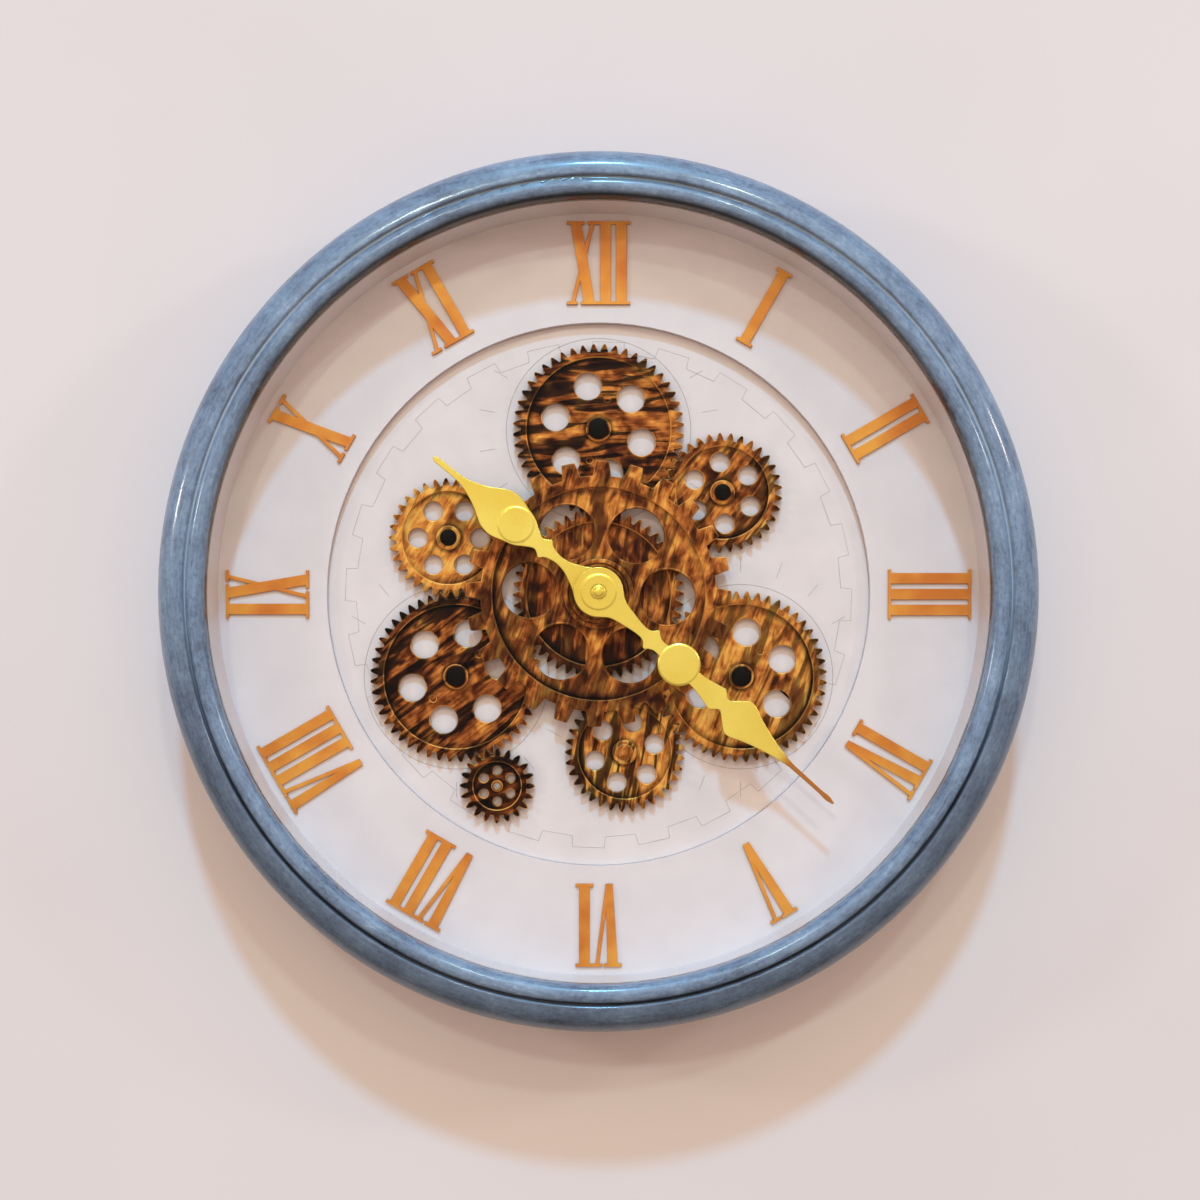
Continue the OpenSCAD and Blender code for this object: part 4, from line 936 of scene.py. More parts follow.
# %% Cut the windows and join the hub
def centre_wheel_rule(material):
    tree, sizes = new_rule("Square-toothed wheel", CENTRE_WHEEL)
    proud = 1 * MM
    thick = sizes["Thickness"]
    above = add(tree, "ShaderNodeMath", [thick, proud], operation="ADD")
    web_face = add(tree, "ShaderNodeMath", [thick, sizes["Web sink"]], operation="SUBTRACT")
    hub_face = add(tree, "ShaderNodeMath", [thick, sizes["Hub sink"]], operation="SUBTRACT")
    dished = add(tree, "GeometryNodeMeshBoolean", {
        0: toothed_blank(tree, sizes), 1: [drum(tree, sizes["Rim radius"], web_face, above, 192)],
    }, **CUT)
    collar = drum(
        tree,
        add(tree, "ShaderNodeMath", [sizes["Window radius"], sizes["Collar width"]], operation="ADD"),
        0.0, add(tree, "ShaderNodeMath", [web_face, sizes["Collar height"]], operation="ADD"), 96,
    )
    collars = spread_round(tree, collar, sizes["Windows"], sizes["Window reach"], sizes["First window"])
    hub = drum(tree, sizes["Hub radius"], 0.0, thick)
    boss = drum(
        tree, sizes["Boss radius"],
        add(tree, "ShaderNodeMath", [sizes["Boss length"], -1.0], operation="MULTIPLY"), hub_face, 96,
    )
    body = add(tree, "GeometryNodeMeshBoolean", {1: [dished, collars, hub, boss]}, **JOIN)
    window = drum(tree, sizes["Window radius"], -proud, above, 96)
    windows = spread_round(tree, window, sizes["Windows"], sizes["Window reach"], sizes["First window"])
    hollow = drum(
        tree,
        add(tree, "ShaderNodeMath", [sizes["Hub radius"], sizes["Hub ring width"]], operation="SUBTRACT"),
        hub_face, above,
    )
    opened = add(tree, "GeometryNodeMeshBoolean", {0: body, 1: [windows, hollow]}, **CUT)
    ridge_foot = add(tree, "ShaderNodeMath", [hub_face, proud / 2], operation="SUBTRACT")
    ridge_top = add(tree, "ShaderNodeMath", [hub_face, sizes["Ridge height"]], operation="ADD")
    ridge_inner = add(tree, "ShaderNodeMath", [
        sizes["Ridge radius"], sizes["Ridge width"],
    ], operation="SUBTRACT")
    outer_drum = drum(tree, sizes["Ridge radius"], ridge_foot, ridge_top)
    ridge = add(tree, "GeometryNodeMeshBoolean", {
        0: outer_drum, 1: [drum(tree, ridge_inner, 0.0, above)],
    }, **CUT)
    bore = drum(tree, sizes["Bore radius"], -3 * proud, above, 96)
    wheel = add(tree, "GeometryNodeMeshBoolean", {
        0: add(tree, "GeometryNodeMeshBoolean", {1: [opened, ridge]}, **JOIN), 1: [bore],
    }, **CUT)
    upright = add(tree, "GeometryNodeTransform", {
        "Geometry": wheel, "Rotation": (math.pi / 2, -math.pi / 2, 0),
        "Translation": (axis.x, back("centre_wheel") - CENTRE_WHEEL["Boss length"], axis.z),
    })
    close_rule(tree, upright, material)
    return tree


# %% [markdown]
# The centre wheel takes the same bronze, with its wash, and painted shade in the grooves of its own hub
# and rim. Its edges are eased more finely inside the rim, where the steps are low.

# %% Make and paint the centre wheel
# The dark stops round the hub ring and at the foot of the rim are painted shade in those grooves.
CENTRE_WASH_AND_SHADE = (
    (0.0, 0.2), (15.6 * MM, 0.3), (16.1 * MM, 1.0), (17.1 * MM, 0.25), (17.8 * MM, 0.3), (18.4 * MM, 1.0),
    (20.0 * MM, 0.9), (20.5 * MM, 0.15), (23.4 * MM, 0.95), (57.0 * MM, 0.95), (59.6 * MM, 0.3),
    (60.6 * MM, 0.05), (61.7 * MM, 0.05), (62.1 * MM, 1.0), (67.6 * MM, 1.0), (77.1 * MM, 0.85),
)
RIM_SPAN = 60 * MM
FINE_SHARE = 0.5
centre_paint = bronze(
    "antique_bronze_centre_wheel", pivots["centre_train"], CENTRE_WHEEL["Tip radius"], 74,
    0.04, CENTRE_WASH_AND_SHADE, 235, 0.7, 0.99,
)
centre_wheel = made_by(centre_wheel_rule(centre_paint), "centre_wheel_square_teeth", CENTRE_WHEEL)


def rim_share(place):
    return 1.0 if math.hypot(place.x - axis.x, place.z - axis.z) > RIM_SPAN else FINE_SHARE


soften(centre_wheel, EDGE, 2, rim_share)
settle(centre_wheel, "centre_train", None, ["centre_wheel"])
box = centre_wheel.bound_box
print(len(centre_wheel.data.polygons), "faces, from", rounded(box[0]), "to", rounded(box[6]))
print("the CAD wheel is from", *(rounded(corner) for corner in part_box("centre_wheel")))

# %% [markdown]
# ## The caps on the studs
#
# Each stud ends in a pressed cap: black on five wheels, bronze on the one at the bottom. The real caps
# are slightly domed, so they are turned on a lathe: a profile spun round an axis. One lathe function
# then serves the caps, the hand nut, the cells and the feet.


# %% Helpers for turned shapes
def lathe(name, profile, sides=48, origin=(0, 0, 0), along=(0, -1, 0)):
    """A profile of (radius, height) points, spun round an axis through origin. It starts and ends on it."""
    work = bmesh.new()
    rows = []
    for r, h in profile:
        if r < MERGE:
            rows.append([work.verts.new((0, 0, h))])
        else:
            rows.append([
                work.verts.new((r * math.cos(math.tau * k / sides), r * math.sin(math.tau * k / sides), h))
                for k in range(sides)
            ])
    for a, b in zip(rows, rows[1:]):
        for k in range(sides):
            n = (k + 1) % sides
            ring = [a[k % len(a)], a[n % len(a)], b[n % len(b)], b[k % len(b)]]
            work.faces.new(list(dict.fromkeys(ring)))
    bmesh.ops.recalc_face_normals(work, faces=work.faces)
    turn = Vector((0, 0, 1)).rotation_difference(Vector(along)).to_matrix().to_4x4()
    work.transform(Matrix.Translation(origin) @ turn)
    mesh = bpy.data.meshes.new(name)
    work.to_mesh(mesh)
    work.free()
    shade(mesh)
    return mesh


def arc(centre, radius, start, end, steps):
    """Points of a round stretch of a profile, from one angle to another in degrees."""
    return [
        (centre[0] + radius * math.cos(math.radians(a)), centre[1] + radius * math.sin(math.radians(a)))
        for a in (start + (end - start) * k / steps for k in range(steps + 1))
    ]


def joined(name, meshes):
    """Several meshes as one."""
    work = bmesh.new()
    for mesh in meshes:
        work.from_mesh(mesh)
    whole = bpy.data.meshes.new(name)
    work.to_mesh(whole)
    work.free()
    shade(whole)
    return whole


print("a quarter of a circle in three steps:", [rounded(p) for p in arc((0, 0), 1, 0, 90, 3)])

# %% [markdown]
# A cap has a rounded shoulder and a shallow dome. The five black ones are one piece, as in the model.

# %% Turn the caps
DOME_RISE = 0.28 * MM
DOME_SHARE = 0.72
SHOULDER = 0.5 * MM
CAP_FOOT = back("stud_caps")
cap_height = CAP_FOOT - front("stud_caps")


def cap(name, body, r):
    """A domed cap that stands on the stud of that body."""
    dome = [
        (r * DOME_SHARE * math.cos(a), cap_height - DOME_RISE + DOME_RISE * math.sin(a))
        for a in (math.radians(d) for d in range(15, 90, 15))
    ]
    shoulder = arc((r - SHOULDER, cap_height - DOME_RISE - SHOULDER), SHOULDER, 0, 90, 5)
    profile = [(0, 0), (r, 0)] + shoulder + dome + [(0, cap_height)]
    return lathe(name, profile, 48, (pivots[body].x, CAP_FOOT, pivots[body].z))


black_caps = [cap("cap", body, LARGE_CAP * MM) for body in ("top_train", "right_train", "lower_left_train")]
black_caps += [cap("cap", body, SMALL_CAP * MM) for body in ("upper_right_train", "left_train")]
stud_caps = as_object("stud_caps_domed", joined("stud_caps_domed", black_caps))
settle(stud_caps, "root", cap_paint, ["stud_caps"])
CAP_WASH = (
    (0, 0.9), (2.2 * MM, 0.9), (2.6 * MM, 0.35), (3.1 * MM, 1.0), (4.2 * MM, 0.9), (SMALL_CAP * MM, 0.3),
)
bottom_paint = bronze(
    "antique_bronze_bottom_cap", pivots["bottom_train"], SMALL_CAP * MM, 70, 0.03, CAP_WASH, 180, 0.5, 1.1,
)
bottom_cap = as_object(
    "bottom_stud_cap_domed", cap("bottom_stud_cap_domed", "bottom_train", SMALL_CAP * MM),
)
settle(bottom_cap, "root", bottom_paint, ["bottom_stud_cap"])
print(len(black_caps) + 1, "caps", round(cap_height / MM, 2), "mm high")

# %% [markdown]
# ## The hands and their nut
#
# The hands are stamped from sheet, with a raised disc halfway along. Their outline is CAD's; here the
# edges are eased, so that the plate shows its bright line. The nut that holds them is a small cap nut
# with a knurled edge: a lathe profile, and notches cut by moving every other column of points inwards.

# %% Finish the hands and turn their nut
DISC_EDGE = math.radians(20)
for node in ("hour_hand", "minute_hand"):
    eased(node, 0.4 * MM, gold_plate, 3, None, DISC_EDGE)
nut_low, nut_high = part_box("hand_nut")
nut_r = reach("hand_nut")
nut_h = nut_high.y - nut_low.y
KNURL_DEPTH = 0.28 * MM
NUT_COLUMNS = 60
SHOULDER_SHARE = 0.66
nut_profile = [
    (0, 0), (nut_r * 0.86, 0), (nut_r, 0.25 * MM), (nut_r, nut_h * 0.52),
    (nut_r * 0.86, nut_h * SHOULDER_SHARE),
]
for angle in (0.0, 0.35, 0.75, 1.15):
    rise = SHOULDER_SHARE + (1 - SHOULDER_SHARE) * math.sin(angle)
    nut_profile.append((nut_r * 0.72 * math.cos(angle), nut_h * rise))
nut_profile.append((0, nut_h))
nut_mesh = lathe("hand_nut_knurled", nut_profile, NUT_COLUMNS, (axis.x, nut_high.y, axis.z))
for vertex in nut_mesh.vertices:
    out = Vector((vertex.co.x - axis.x, 0, vertex.co.z - axis.z))
    column = round(math.atan2(out.z, out.x) / math.tau * NUT_COLUMNS)
    if out.length > nut_r * 0.95 and column % 3 == 0:
        vertex.co -= out.normalized() * KNURL_DEPTH
settle(as_object("hand_nut_knurled", nut_mesh), "minute_body", gold_plate, ["hand_nut"])
print("nut", round(nut_r / MM, 2), "mm in radius,", round(nut_h / MM, 2), "mm high")

# %% [markdown]
# ## The numerals
#
# Twelve Roman numerals are stamped from plastic and foiled with gold. Their foil drifts from orange to
# yellow gold, and painted shade darkens their side walls, which draws a fine dark outline round each
# stroke.

# %% Finish the numerals
NUMERALS = ("i", "ii", "iii", "iv", "v", "vi", "vii", "viii", "ix", "x", "xi", "xii")
for name in NUMERALS:
    eased("numeral_" + name, 0.22 * MM, gold_film)
print(len(NUMERALS), "numerals")

# %% [markdown]
# ## The printed lines on the inner dial
#
# Behind the train the film carries very thin grey line work: a circle round each large wheel, short
# ticks outside it, and the outline of a coarse gear. It is a plain pattern of its own here. Geometry
# Nodes draw it, because it is all repeats: a line is swept along a circle, ticks are copied round it,
# and what would leave the film is deleted. The ink is a raised strip, a few hundredths thick.

# %% Print the line work
PRINT = {
    "Line width": 0.34 * MM, "Line height": 0.04 * MM, "Circle radius": 54 * MM, "Ticks": 18,
    "Tick radius": 66 * MM, "Tick length": 9 * MM, "Wheel reach": 96 * MM, "Film radius": 154 * MM,
    "Teeth": 24, "Root radius": 141.5 * MM, "Tip radius": 148 * MM, "Root width": 19.5 * MM,
    "Tip width": 18.5 * MM, "First tooth": 0.04,
}


def print_rule(material):
    tree, sizes = new_rule("Printed gear lines", PRINT)
    nib = add(tree, "GeometryNodeCurvePrimitiveQuadrilateral", [
        sizes["Line width"], sizes["Line height"],
    ])
    circle = add(tree, "GeometryNodeCurvePrimitiveCircle", {
        "Resolution": 120, "Radius": sizes["Circle radius"],
    })
    swept = add(tree, "GeometryNodeCurveToMesh", {
        "Curve": circle.outputs["Curve"], "Profile Curve": nib, "Fill Caps": True,
    })
    tick = add(tree, "GeometryNodeMeshCube", {"Size": add(tree, "ShaderNodeCombineXYZ", {
        "X": sizes["Tick length"], "Y": sizes["Line width"], "Z": sizes["Line height"],
    })})
    spots = add(tree, "GeometryNodeMeshCircle", {
        "Vertices": sizes["Ticks"], "Radius": sizes["Tick radius"],
    })
    outward = add(tree, "FunctionNodeAlignRotationToVector", {
        "Vector": add(tree, "GeometryNodeInputPosition"),
    }, axis="X")
    ticks = add(tree, "GeometryNodeInstanceOnPoints", {
        "Points": spots, "Instance": tick, "Rotation": outward,
    })
    motif = add(tree, "GeometryNodeJoinGeometry", {"Geometry": [swept, ticks]})
    three = add(tree, "GeometryNodeMeshCircle", {"Vertices": 3, "Radius": sizes["Wheel reach"]})
    motifs = add(tree, "GeometryNodeRealizeInstances", {"Geometry": add(
        tree, "GeometryNodeInstanceOnPoints", {"Points": three, "Instance": motif},
    )})
    place = add(tree, "GeometryNodeInputPosition")
    distance = add(tree, "ShaderNodeVectorMath", [place], operation="LENGTH").outputs["Value"]
    outside = add(tree, "ShaderNodeMath", [distance, sizes["Film radius"]], operation="GREATER_THAN")
    kept = add(tree, "GeometryNodeDeleteGeometry", {"Geometry": motifs, "Selection": outside})
    gear = add(tree, "GeometryNodeMeshToCurve", {"Mesh": toothed(tree, sizes, "NONE")})
    gear_line = add(tree, "GeometryNodeCurveToMesh", {
        "Curve": gear, "Profile Curve": nib, "Fill Caps": True,
    })
    whole = add(tree, "GeometryNodeJoinGeometry", {"Geometry": [kept, gear_line]})
    upright = add(tree, "GeometryNodeTransform", {
        "Geometry": whole, "Rotation": (math.pi / 2, -math.pi / 2, 0),
        "Translation": (axis.x, front("inner_dial") - PRINT["Line height"] / 2, axis.z),
    })
    close_rule(tree, upright, material)
    return tree


printed = made_by(print_rule(ink), "printed_gear_lines", PRINT)
settle(printed, "root", None)
print("printed lines", len(printed.data.polygons), "faces")

# %% [markdown]
# ## Screws
#
# Eight long screws clamp the back, two hold the hanging plate and two the gear motor. A screw is told
# by its head: a rounded pan or a flush cone, with a cross recess. The heads are cut by Geometry Nodes
# from a drum, a cone and two crossed bars, and copied to their places.

# %% Cut the screws
PAN_HEAD = {
    "Head radius": 3.2 * MM, "Head height": 2.2 * MM, "Crown radius": 2.1 * MM, "Crown height": 0.9 * MM,
    "Shank radius": 1.5 * MM, "Shank length": 12 * MM, "Bar length": 3.4 * MM, "Bar width": 0.75 * MM,
    "Bar depth": 1.2 * MM,
}
SMALL_PAN = dict(PAN_HEAD, **{
    "Head radius": 2.8 * MM, "Head height": 1.8 * MM, "Crown radius": 1.8 * MM, "Crown height": 0.8 * MM,
    "Shank radius": 1.3 * MM, "Shank length": 4 * MM, "Bar length": 3.0 * MM, "Bar depth": 1.0 * MM,
})
FLUSH = dict(PAN_HEAD, **{
    "Head radius": 1.5 * MM, "Head height": 1.3 * MM, "Crown radius": 2.75 * MM, "Crown height": 1.25 * MM,
    "Shank radius": 1.3 * MM, "Shank length": 5.5 * MM, "Bar length": 3.0 * MM, "Bar depth": 0.9 * MM,
})
CROSS_TURN = 0.7        # each cross stands this much further round, as a driver leaves them
OVERLAP = 0.01 * MM


def screw_rule(places, head_level, material):
    """Screws whose heads face +Y, at (x, z) places, with the seat of the head at one level."""
    tree, sizes = new_rule("Cross-head screws", PAN_HEAD)
    step = add(tree, "ShaderNodeMath", [
        sizes["Head height"], sizes["Crown height"],
    ], operation="SUBTRACT")
    head = drum(
        tree, sizes["Head radius"], 0.0, add(tree, "ShaderNodeMath", [step, OVERLAP], operation="ADD"),
        32,
    )
    cone = add(tree, "GeometryNodeMeshCone", {
        "Vertices": 32, "Side Segments": 1, "Radius Top": sizes["Crown radius"],
        "Radius Bottom": sizes["Head radius"], "Depth": sizes["Crown height"],
    })
    crown = add(tree, "GeometryNodeTransform", {
        "Geometry": cone.outputs["Mesh"], "Translation": add(tree, "ShaderNodeCombineXYZ", {"Z": step}),
    })
    shank = drum(
        tree, sizes["Shank radius"],
        add(tree, "ShaderNodeMath", [sizes["Shank length"], -1.0], operation="MULTIPLY"), 0.2 * MM, 24,
    )
    solid = add(tree, "GeometryNodeMeshBoolean", {1: [head, crown, shank]}, **JOIN)
    depth = add(tree, "ShaderNodeMath", [sizes["Bar depth"], 2.0], operation="MULTIPLY")
    bars = []
    for short_side, long_side in (("X", "Y"), ("Y", "X")):
        size = add(tree, "ShaderNodeCombineXYZ", {
            short_side: sizes["Bar width"], long_side: sizes["Bar length"], "Z": depth,
        })
        bars.append(add(tree, "GeometryNodeTransform", {
            "Geometry": add(tree, "GeometryNodeMeshCube", {"Size": size}),
            "Translation": add(tree, "ShaderNodeCombineXYZ", {"Z": sizes["Head height"]}),
        }))
    screw = add(tree, "GeometryNodeMeshBoolean", {0: solid, 1: bars}, **CUT)
    facing = add(tree, "GeometryNodeTransform", {"Geometry": screw, "Rotation": (-math.pi / 2, 0, 0)})
    copies = [
        add(tree, "GeometryNodeTransform", {
            "Geometry": facing, "Rotation": (0, CROSS_TURN * k, 0), "Translation": (x, head_level, z),
        })
        for k, (x, z) in enumerate(places)
    ]
    close_rule(tree, add(tree, "GeometryNodeJoinGeometry", {"Geometry": copies}), material)
    return tree


print("one rule for three kinds of screw")

# %% [markdown]
# The places of the screws come from the boxes of their nodes: two lie side by side at the ends of a
# box, and the eight long ones stand on a circle that their box surrounds.


# %% Set the screws
def screws(node, sizes, places, seat):
    """Screws of that kind at their places, their heads standing on the seat's level."""
    piece = made_by(screw_rule(places, seat, zinc), node + "_cross_head", sizes)
    shade(piece.data)
    settle(piece, "root", None, [node])
    print(node, len(places), "screws,", len(piece.data.polygons), "faces")


def pair(node, edge):
    """The places of two fasteners that lie side by side: the ends of their node's box."""
    low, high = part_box(node)
    z = (low.z + high.z) / 2
    return [(low.x + edge, z), (high.x - edge, z)]


COVER_SCREWS = 8
half_step = math.pi / COVER_SCREWS
screw_reach = (reach("cover_screws") - PAN_HEAD["Head radius"]) / math.cos(half_step)
round_places = [
    (axis.x + screw_reach * math.sin(a), axis.z + screw_reach * math.cos(a))
    for a in (half_step + math.tau * k / COVER_SCREWS for k in range(COVER_SCREWS))
]
INSET = 0.05 * MM       # the flush heads stay this much inside their countersinks
motor_places = pair("motor_screws", SMALL_PAN["Head radius"])
hanger_places = pair("hanger_screws", FLUSH["Crown radius"] + INSET)
hanger_seat = back("hanger_screws") - INSET - FLUSH["Head height"]
screws("cover_screws", PAN_HEAD, round_places, back("cover_screws") - PAN_HEAD["Head height"])
screws("motor_screws", SMALL_PAN, motor_places, back("motor_screws") - SMALL_PAN["Head height"])
screws("hanger_screws", FLUSH, hanger_places, hanger_seat)

# %% [markdown]
# ## The back
#
# The back holds a quartz movement and a gear motor, each with a cell in a bay. Their cases are black
# ABS with a fine eroded grain and eased edges. The feet are soft rubber, and the hanging plate is
# zinc plated steel.

# %% Finish the cases, the knob and the plate
for case in ("movement_case", "gear_motor"):
    eased(case, 0.5 * MM, black_abs, 3)
eased("setting_knob", 0.25 * MM, pale_abs)
eased("motor_switch", 0.35 * MM, pale_abs)
plate = eased("hanger_plate", 0.3 * MM, zinc)
print("hanging plate", len(plate.data.polygons), "faces")

# %% [markdown]
# The two feet are turned discs with a rounded edge. They stand on the cover and touch the wall.

# %% Turn the feet
FOOT_R = 8 * MM
FOOT_ROUND = 1.4 * MM
foot_y = front("wall_bumpers")
foot_h = back("wall_bumpers") - foot_y
foot_edge = arc((FOOT_R - FOOT_ROUND, foot_h - FOOT_ROUND), FOOT_ROUND, 0, 90, 6)
foot_profile = [(0, 0), (FOOT_R, 0)] + foot_edge + [(0, foot_h)]
feet = [
    lathe("foot", foot_profile, 40, (x, foot_y, z), (0, 1, 0)) for x, z in pair("wall_bumpers", FOOT_R)
]
both_feet = as_object("wall_bumpers_soft", joined("wall_bumpers_soft", feet))
settle(both_feet, "root", rubber, ["wall_bumpers"])
print("feet", round(foot_h / MM, 2), "mm high")

# %% [markdown]
# ## Cells and their contacts
#
# Each cell is a steel can under a shrunk label: the crimp and the button are bare, the label is plain
# green with a copper coloured band, and says nothing. The can is a lathe profile along X. Its label is
# a function of the distance along the cell.


# %% Make the label and the cells
def cell_label(name, middle_x, half):
    """A shrunk label with a band at the button end; bare metal past both ends of it."""
    made, tree, shader = new_material(name)
    where = add(tree, "ShaderNodeSeparateXYZ", {
        "Vector": add(tree, "ShaderNodeTexCoord").outputs["Object"],
    })
    along = add(tree, "ShaderNodeMapRange", {
        "Value": where.outputs["X"], "From Min": middle_x - half, "From Max": middle_x + half,
    })
    steel, band, jacket = "#B4B7BA", "#B9803F", "#33583F"
    colour = add(tree, "ShaderNodeValToRGB", {"Fac": along}, stops=(
        (0.0, steel), (0.03, jacket), (0.72, jacket), (0.73, band), (0.95, band), (0.955, steel),
    ))
    colour.color_ramp.interpolation = "CONSTANT"
    bare = add(tree, "ShaderNodeValToRGB", {"Fac": along}, stops=((0.0, 1.0), (0.03, 0.0), (0.955, 1.0)))
    bare.color_ramp.interpolation = "CONSTANT"
    feed(tree, shader, {
        "Base Color": colour, "Metallic": bare.outputs["Color"], "Roughness": 0.3, "Coat Weight": 0.2,
    })
    return made


BUTTON_R, BUTTON_H, BUTTON_EDGE = 2.7 * MM, 1.0 * MM, 0.3 * MM
CRIMP, TOP_ROUND, TOP_SINK = 0.5 * MM, 0.9 * MM, 0.45 * MM
LABEL_SINK = 0.12 * MM


def cell_profile(length, r):
    """Half outline of a cell, from the flat end to the button, by (radius, distance)."""
    top = length - TOP_SINK
    tip = length + BUTTON_H
    flat_end = [(0, 0.25 * MM), (4.6 * MM, 0.25 * MM), (5.2 * MM, 0), (r - CRIMP, 0)]
    flat_end += arc((r - CRIMP, CRIMP), CRIMP, -90, 0, 4)
    side = [
        (r, length * 0.028), (r - LABEL_SINK, length * 0.03), (r - LABEL_SINK, length * 0.95),
        (r, length * 0.955),
    ]
    shoulder = arc((r - TOP_ROUND, length - TOP_ROUND), TOP_ROUND, 0, 80, 5)
    button = [
        (r - 2.2 * MM, top), (BUTTON_R + BUTTON_EDGE, top), (BUTTON_R, length - 0.1 * MM),
        (BUTTON_R, tip - BUTTON_EDGE), (BUTTON_R - BUTTON_EDGE, tip), (0, tip),
    ]
    return flat_end + side + shoulder + button


CELLS = ("movement_cell", "motor_cell")
for node in CELLS:
    cell_low, cell_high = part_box(node)
    cell_r = (cell_high.z - cell_low.z) / 2
    can = cell_high.x - cell_low.x - BUTTON_H
    middle_y, middle_z = (cell_low.y + cell_high.y) / 2, (cell_low.z + cell_high.z) / 2
    cell_place = (cell_low.x, middle_y, middle_z)
    mesh = lathe(node + "_labelled", cell_profile(can, cell_r), 64, cell_place, (1, 0, 0))
    label = cell_label("label_shrunk_" + node, cell_low.x + can / 2, can / 2)
    settle(as_object(node + "_labelled", mesh), "root", label, [node])
    print(node, round(can / MM, 1), "mm long,", round(cell_r / MM, 2), "mm in radius")

# %% [markdown]
# Each bay has a sprung contact: a small plate at both ends of the cell, and at the flat end a wire wound
# as a flattening cone. The wire is a curve with a round section, turned into a mesh.


# %% Wind the springs and set the plates
def coil_points(start, end, r_start, r_end, turns, steps=20):
    """A helix along X whose radius changes from one value to another."""
    count = int(turns * steps)
    return [
        Vector((
            start.x + (end.x - start.x) * k / count,
            start.y + (r_start + (r_end - r_start) * k / count) * math.cos(math.tau * k / steps),
            start.z + (r_start + (r_end - r_start) * k / count) * math.sin(math.tau * k / steps),
        ))
        for k in range(count + 1)
    ]


def wire(name, points, radius, sides=8):
    """A closed round wire through the points."""
    curve = bpy.data.curves.new(name, "CURVE")
    curve.dimensions = "3D"
    curve.bevel_depth = radius
    curve.bevel_resolution = sides // 4
    curve.use_fill_caps = True
    line = curve.splines.new("POLY")
    line.points.add(len(points) - 1)
    for spot, point in zip(line.points, points):
        spot.co = (*point, 1)
    carrier = as_object(name, curve)
    bpy.context.view_layer.update()
    mesh = bpy.data.meshes.new_from_object(carrier.evaluated_get(bpy.context.evaluated_depsgraph_get()))
    bpy.data.objects.remove(carrier)
    return mesh


PLATE, PLATE_WIDTH, PLATE_EASE = 0.5 * MM, 9 * MM, 0.12 * MM
SPRING_GAP, BUTTON_GAP = 1.5 * MM, 0.5 * MM


def contact_plate(place):
    """A square plate with eased edges, across X."""
    block = bmesh.new()
    scale = Matrix.Diagonal((PLATE, PLATE_WIDTH, PLATE_WIDTH, 1))
    bmesh.ops.create_cube(block, size=1, matrix=Matrix.Translation(place) @ scale)
    bmesh.ops.bevel(block, geom=block.edges[:], offset=PLATE_EASE, segments=2, affect="EDGES")
    mesh = bpy.data.meshes.new("plate")
    block.to_mesh(mesh)
    block.free()
    return mesh


contacts = []
for node in CELLS:
    cell_low, cell_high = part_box(node)
    middle_y, middle_z = (cell_low.y + cell_high.y) / 2, (cell_low.z + cell_high.z) / 2
    for x in (cell_low.x - SPRING_GAP - PLATE / 2, cell_high.x + BUTTON_GAP + PLATE / 2):
        contacts.append(contact_plate((x, middle_y, middle_z)))
    foot = Vector((cell_low.x - SPRING_GAP + 0.2 * MM, middle_y, middle_z))
    tip = Vector((cell_low.x - 0.3 * MM, middle_y, middle_z))
    contacts.append(wire("spring", coil_points(foot, tip, 4.1 * MM, 2.2 * MM, 3), 0.22 * MM))
cell_contacts = as_object("cell_contacts_sprung", joined("cell_contacts_sprung", contacts))
settle(cell_contacts, "root", bright_steel, ["cell_contacts"])
print("contacts with", len(contacts), "parts")

# %% [markdown]
# ## The wall
#
# The clock hangs on a plain pale wall, which takes its shadow. The wall shows from the front only, and
# it is open behind the clock, where no view from the front reaches, so that the back can be looked at.

# %% Build the wall
WALL_SIZE = 3.2
WALL_GAP = 0.6 * MM     # behind the feet, so that nothing touches it
WALL_SIDES = 128
hole_r = ring_r - 6 * MM
corners = []
for i in range(WALL_SIDES):
    turn = math.tau * i / WALL_SIDES
    way_x, way_z = math.cos(turn), math.sin(turn)
    far = WALL_SIZE / 2 / max(abs(way_x), abs(way_z))
    corners += [(r * way_x, WALL_GAP, axis.z + r * way_z) for r in (hole_r, far)]
count = len(corners)
faces = [(i, i + 1, (i + 3) % count, (i + 2) % count) for i in range(0, count, 2)]
wall_mesh = bpy.data.meshes.new("wall")
wall_mesh.from_pydata(corners, [], faces)
wall = as_object("wall", wall_mesh)
wall_paint, tree, shader = new_material("pale_wall_emulsion")
tree.nodes.remove(shader)
mottle = add(tree, "ShaderNodeTexNoise", {
    "Vector": add(tree, "ShaderNodeTexCoord").outputs["Object"], "Scale": 3.0, "Detail": 3.0,
})
matt = add(tree, "ShaderNodeBsdfDiffuse", {
    "Color": add(tree, "ShaderNodeValToRGB", {"Fac": mottle}, stops=((0.35, "#D8D4D6"), (0.65, "#DCD8DA"))),
})
behind = add(tree, "ShaderNodeNewGeometry").outputs["Backfacing"]
feed(tree, tree.nodes["Material Output"], {
    "Surface": add(tree, "ShaderNodeMixShader", [behind, matt, add(tree, "ShaderNodeBsdfTransparent")]),
})
wall.data.materials.append(wall_paint)
print("wall", WALL_SIZE, "m wide, open within", round(hole_r, 4), "m of the axis")

# %% [markdown]
# ## Light
#
# In the photograph the light comes from high above, and the clock's shadow on the wall has three edges
# one within another: the deepest straight below, the others a little to the left and the right. So
# three lamps stand at 54, 38 and 29 degrees from the front. They are far off, so that the wall is lit
# evenly. The shadows are warmer than the lit dial, so the strongest lamp is cool, and the rest of the
# light is a warm plain sky. It is strongest from the front and dims towards the wall and from below,
# which leaves the ring's sides and its bottom darker. Two weak side lamps draw the short bright lines
# on the beads, and one behind the wall only lights the clock's back.

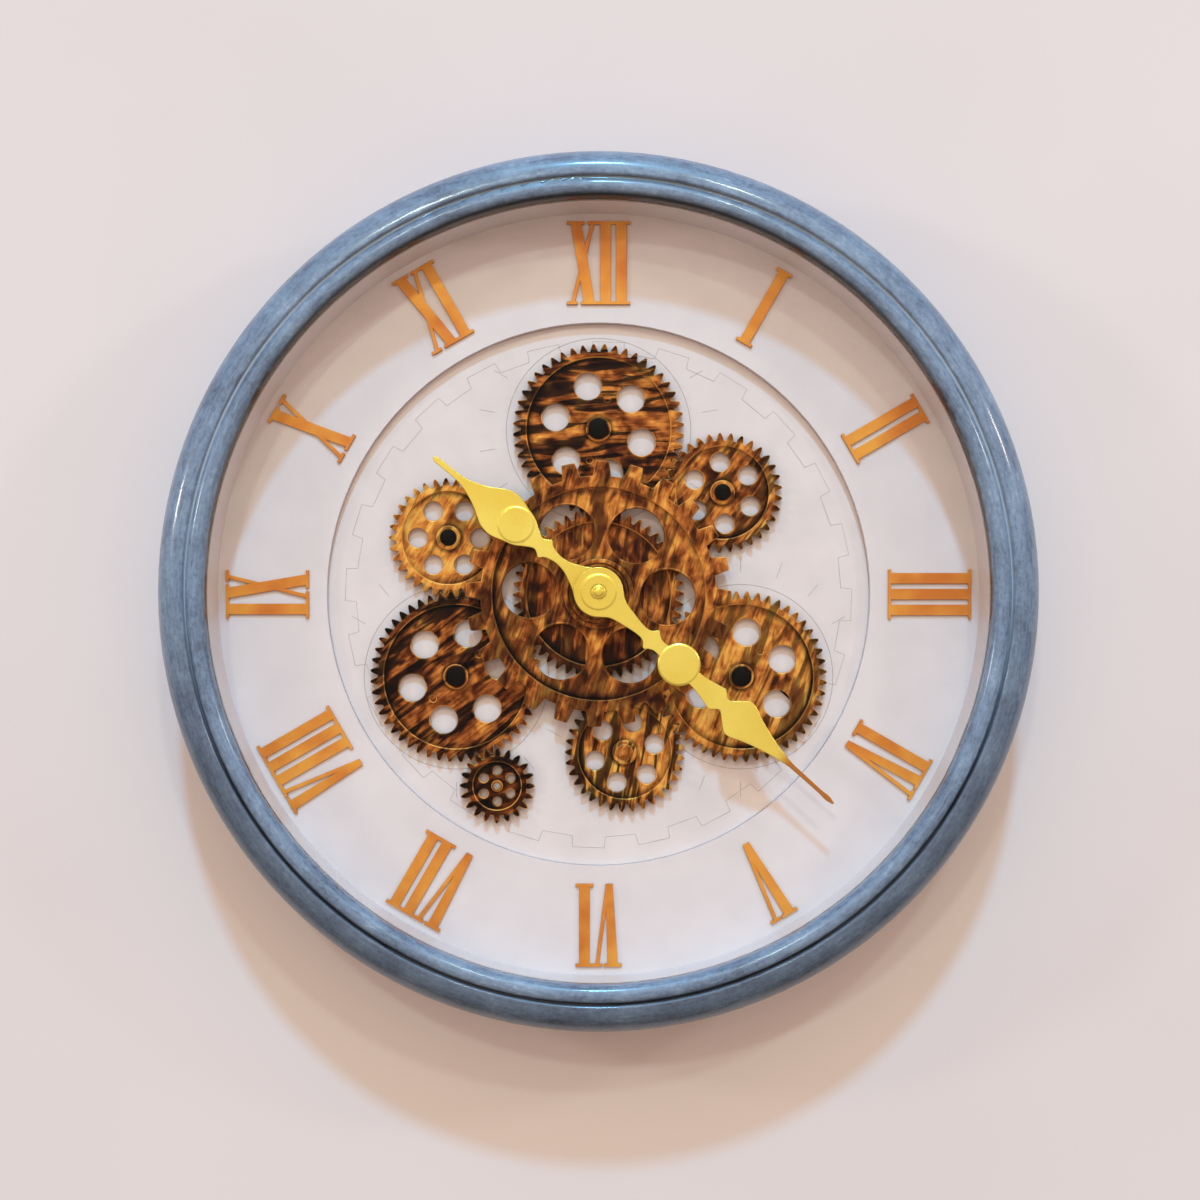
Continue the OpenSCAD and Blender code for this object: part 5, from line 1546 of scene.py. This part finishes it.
# %% Place the lamps
KEY_DISTANCE = 12.0
centre = Vector((axis.x, front("chapter_ring"), axis.z))


def lamp(name, clock_angle, tilt, distance, watts, size, colour):
    """A round lamp that faces the dial, placed by its clock direction and its angle from the front."""
    data = bpy.data.lights.new(name, "AREA")
    data.shape = "DISK"
    data.size = size
    data.energy = watts
    data.color = linear(colour)[:3]
    made = bpy.data.objects.new(name, data)
    turn = math.radians(clock_angle)
    spread = distance * math.sin(math.radians(tilt))
    made.location = centre + Vector((
        spread * math.sin(turn), -distance * math.cos(math.radians(tilt)), spread * math.cos(turn),
    ))
    made.rotation_euler = (centre - made.location).to_track_quat("-Z", "Y").to_euler()
    bpy.context.scene.collection.objects.link(made)
    print(name, rounded(made.location))


lamp("key_high", 0, 54, KEY_DISTANCE, 850, 0.85, "#80D0FF")
lamp("key_upper_right", 17, 38, KEY_DISTANCE, 140, 0.75, "#ECFFEC")
lamp("key_upper_left", -24, 29, KEY_DISTANCE, 140, 0.75, "#ECFFEC")
lamp("right_side", 66, 62, 1.8, 4, 0.18, "#FFF6EC")
lamp("left_side", -75, 62, 1.8, 4, 0.18, "#FFF6EC")
lamp("behind_the_wall", 30, 130, 2.2, 26, 1.0, "#FFF6EC")

# %% [markdown]
# The sky is one plain gradient. As light it is warm, in reflections nearly white and a little weaker,
# and where the camera sees it, behind the clock's back, it is an even pale ground.

# %% Make the sky
SKY_FRONT = 1.375
SKY_EDGE = 0.25
SKY_TILT = 0.5
SKY_LIGHT = 0.77
SKY_MIRRORED = 0.68
sky = bpy.data.worlds.new("plain_sky")
sky.use_nodes = True
bpy.context.scene.world = sky
tree = sky.node_tree
toward = add(tree, "ShaderNodeSeparateXYZ", {
    "Vector": add(tree, "ShaderNodeTexCoord").outputs["Generated"],
})
lobe = add(tree, "ShaderNodeMapRange", {
    "Value": toward.outputs["Y"], "From Min": -1.0, "From Max": 0.0, "To Min": SKY_FRONT,
    "To Max": SKY_EDGE,
})
level = add(tree, "ShaderNodeMath", [
    lobe, add(tree, "ShaderNodeMath", [toward.outputs["Z"], SKY_TILT, 1.0], operation="MULTIPLY_ADD"),
], operation="MULTIPLY")
path = add(tree, "ShaderNodeLightPath")
as_light = add(tree, "ShaderNodeBackground", {
    "Color": linear("#FFD8BF"),
    "Strength": add(tree, "ShaderNodeMath", [level, SKY_LIGHT], operation="MULTIPLY"),
})
mirrored = add(tree, "ShaderNodeBackground", {
    "Color": linear("#FFF8F2"),
    "Strength": add(tree, "ShaderNodeMath", [level, SKY_MIRRORED], operation="MULTIPLY"),
})
lit = add(tree, "ShaderNodeMixShader", [path.outputs["Is Glossy Ray"], as_light, mirrored])
feed(tree, tree.nodes["World Output"], {
    "Surface": add(tree, "ShaderNodeMixShader", [
        path.outputs["Is Camera Ray"], lit,
        add(tree, "ShaderNodeBackground", {"Color": linear("#F6F1F0"), "Strength": 1.0}),
    ]),
})
print("sky from", SKY_EDGE, "at the wall to", SKY_FRONT, "in front")

# %% [markdown]
# ## Camera
#
# The photograph was taken from about a metre away, slightly below the clock's middle and level, with
# the clock framed above the middle of the picture by the lens, not by tilting. So the camera looks
# straight along +Y and the frame is shifted.

# %% Place the camera
camera_data = bpy.data.cameras.new("photo_camera")
camera_data.lens = 51.1
camera_data.sensor_width = 36
camera_data.shift_y = 0.075
camera = bpy.data.objects.new("photo_camera", camera_data)
camera.location = (0.00085, -1.0255, -0.2608)
camera.rotation_euler = (math.pi / 2, 0, 0)
bpy.context.scene.collection.objects.link(camera)
bpy.context.scene.camera = camera
bpy.context.scene.view_settings.view_transform = "Standard"
print("camera", rounded(camera.location))
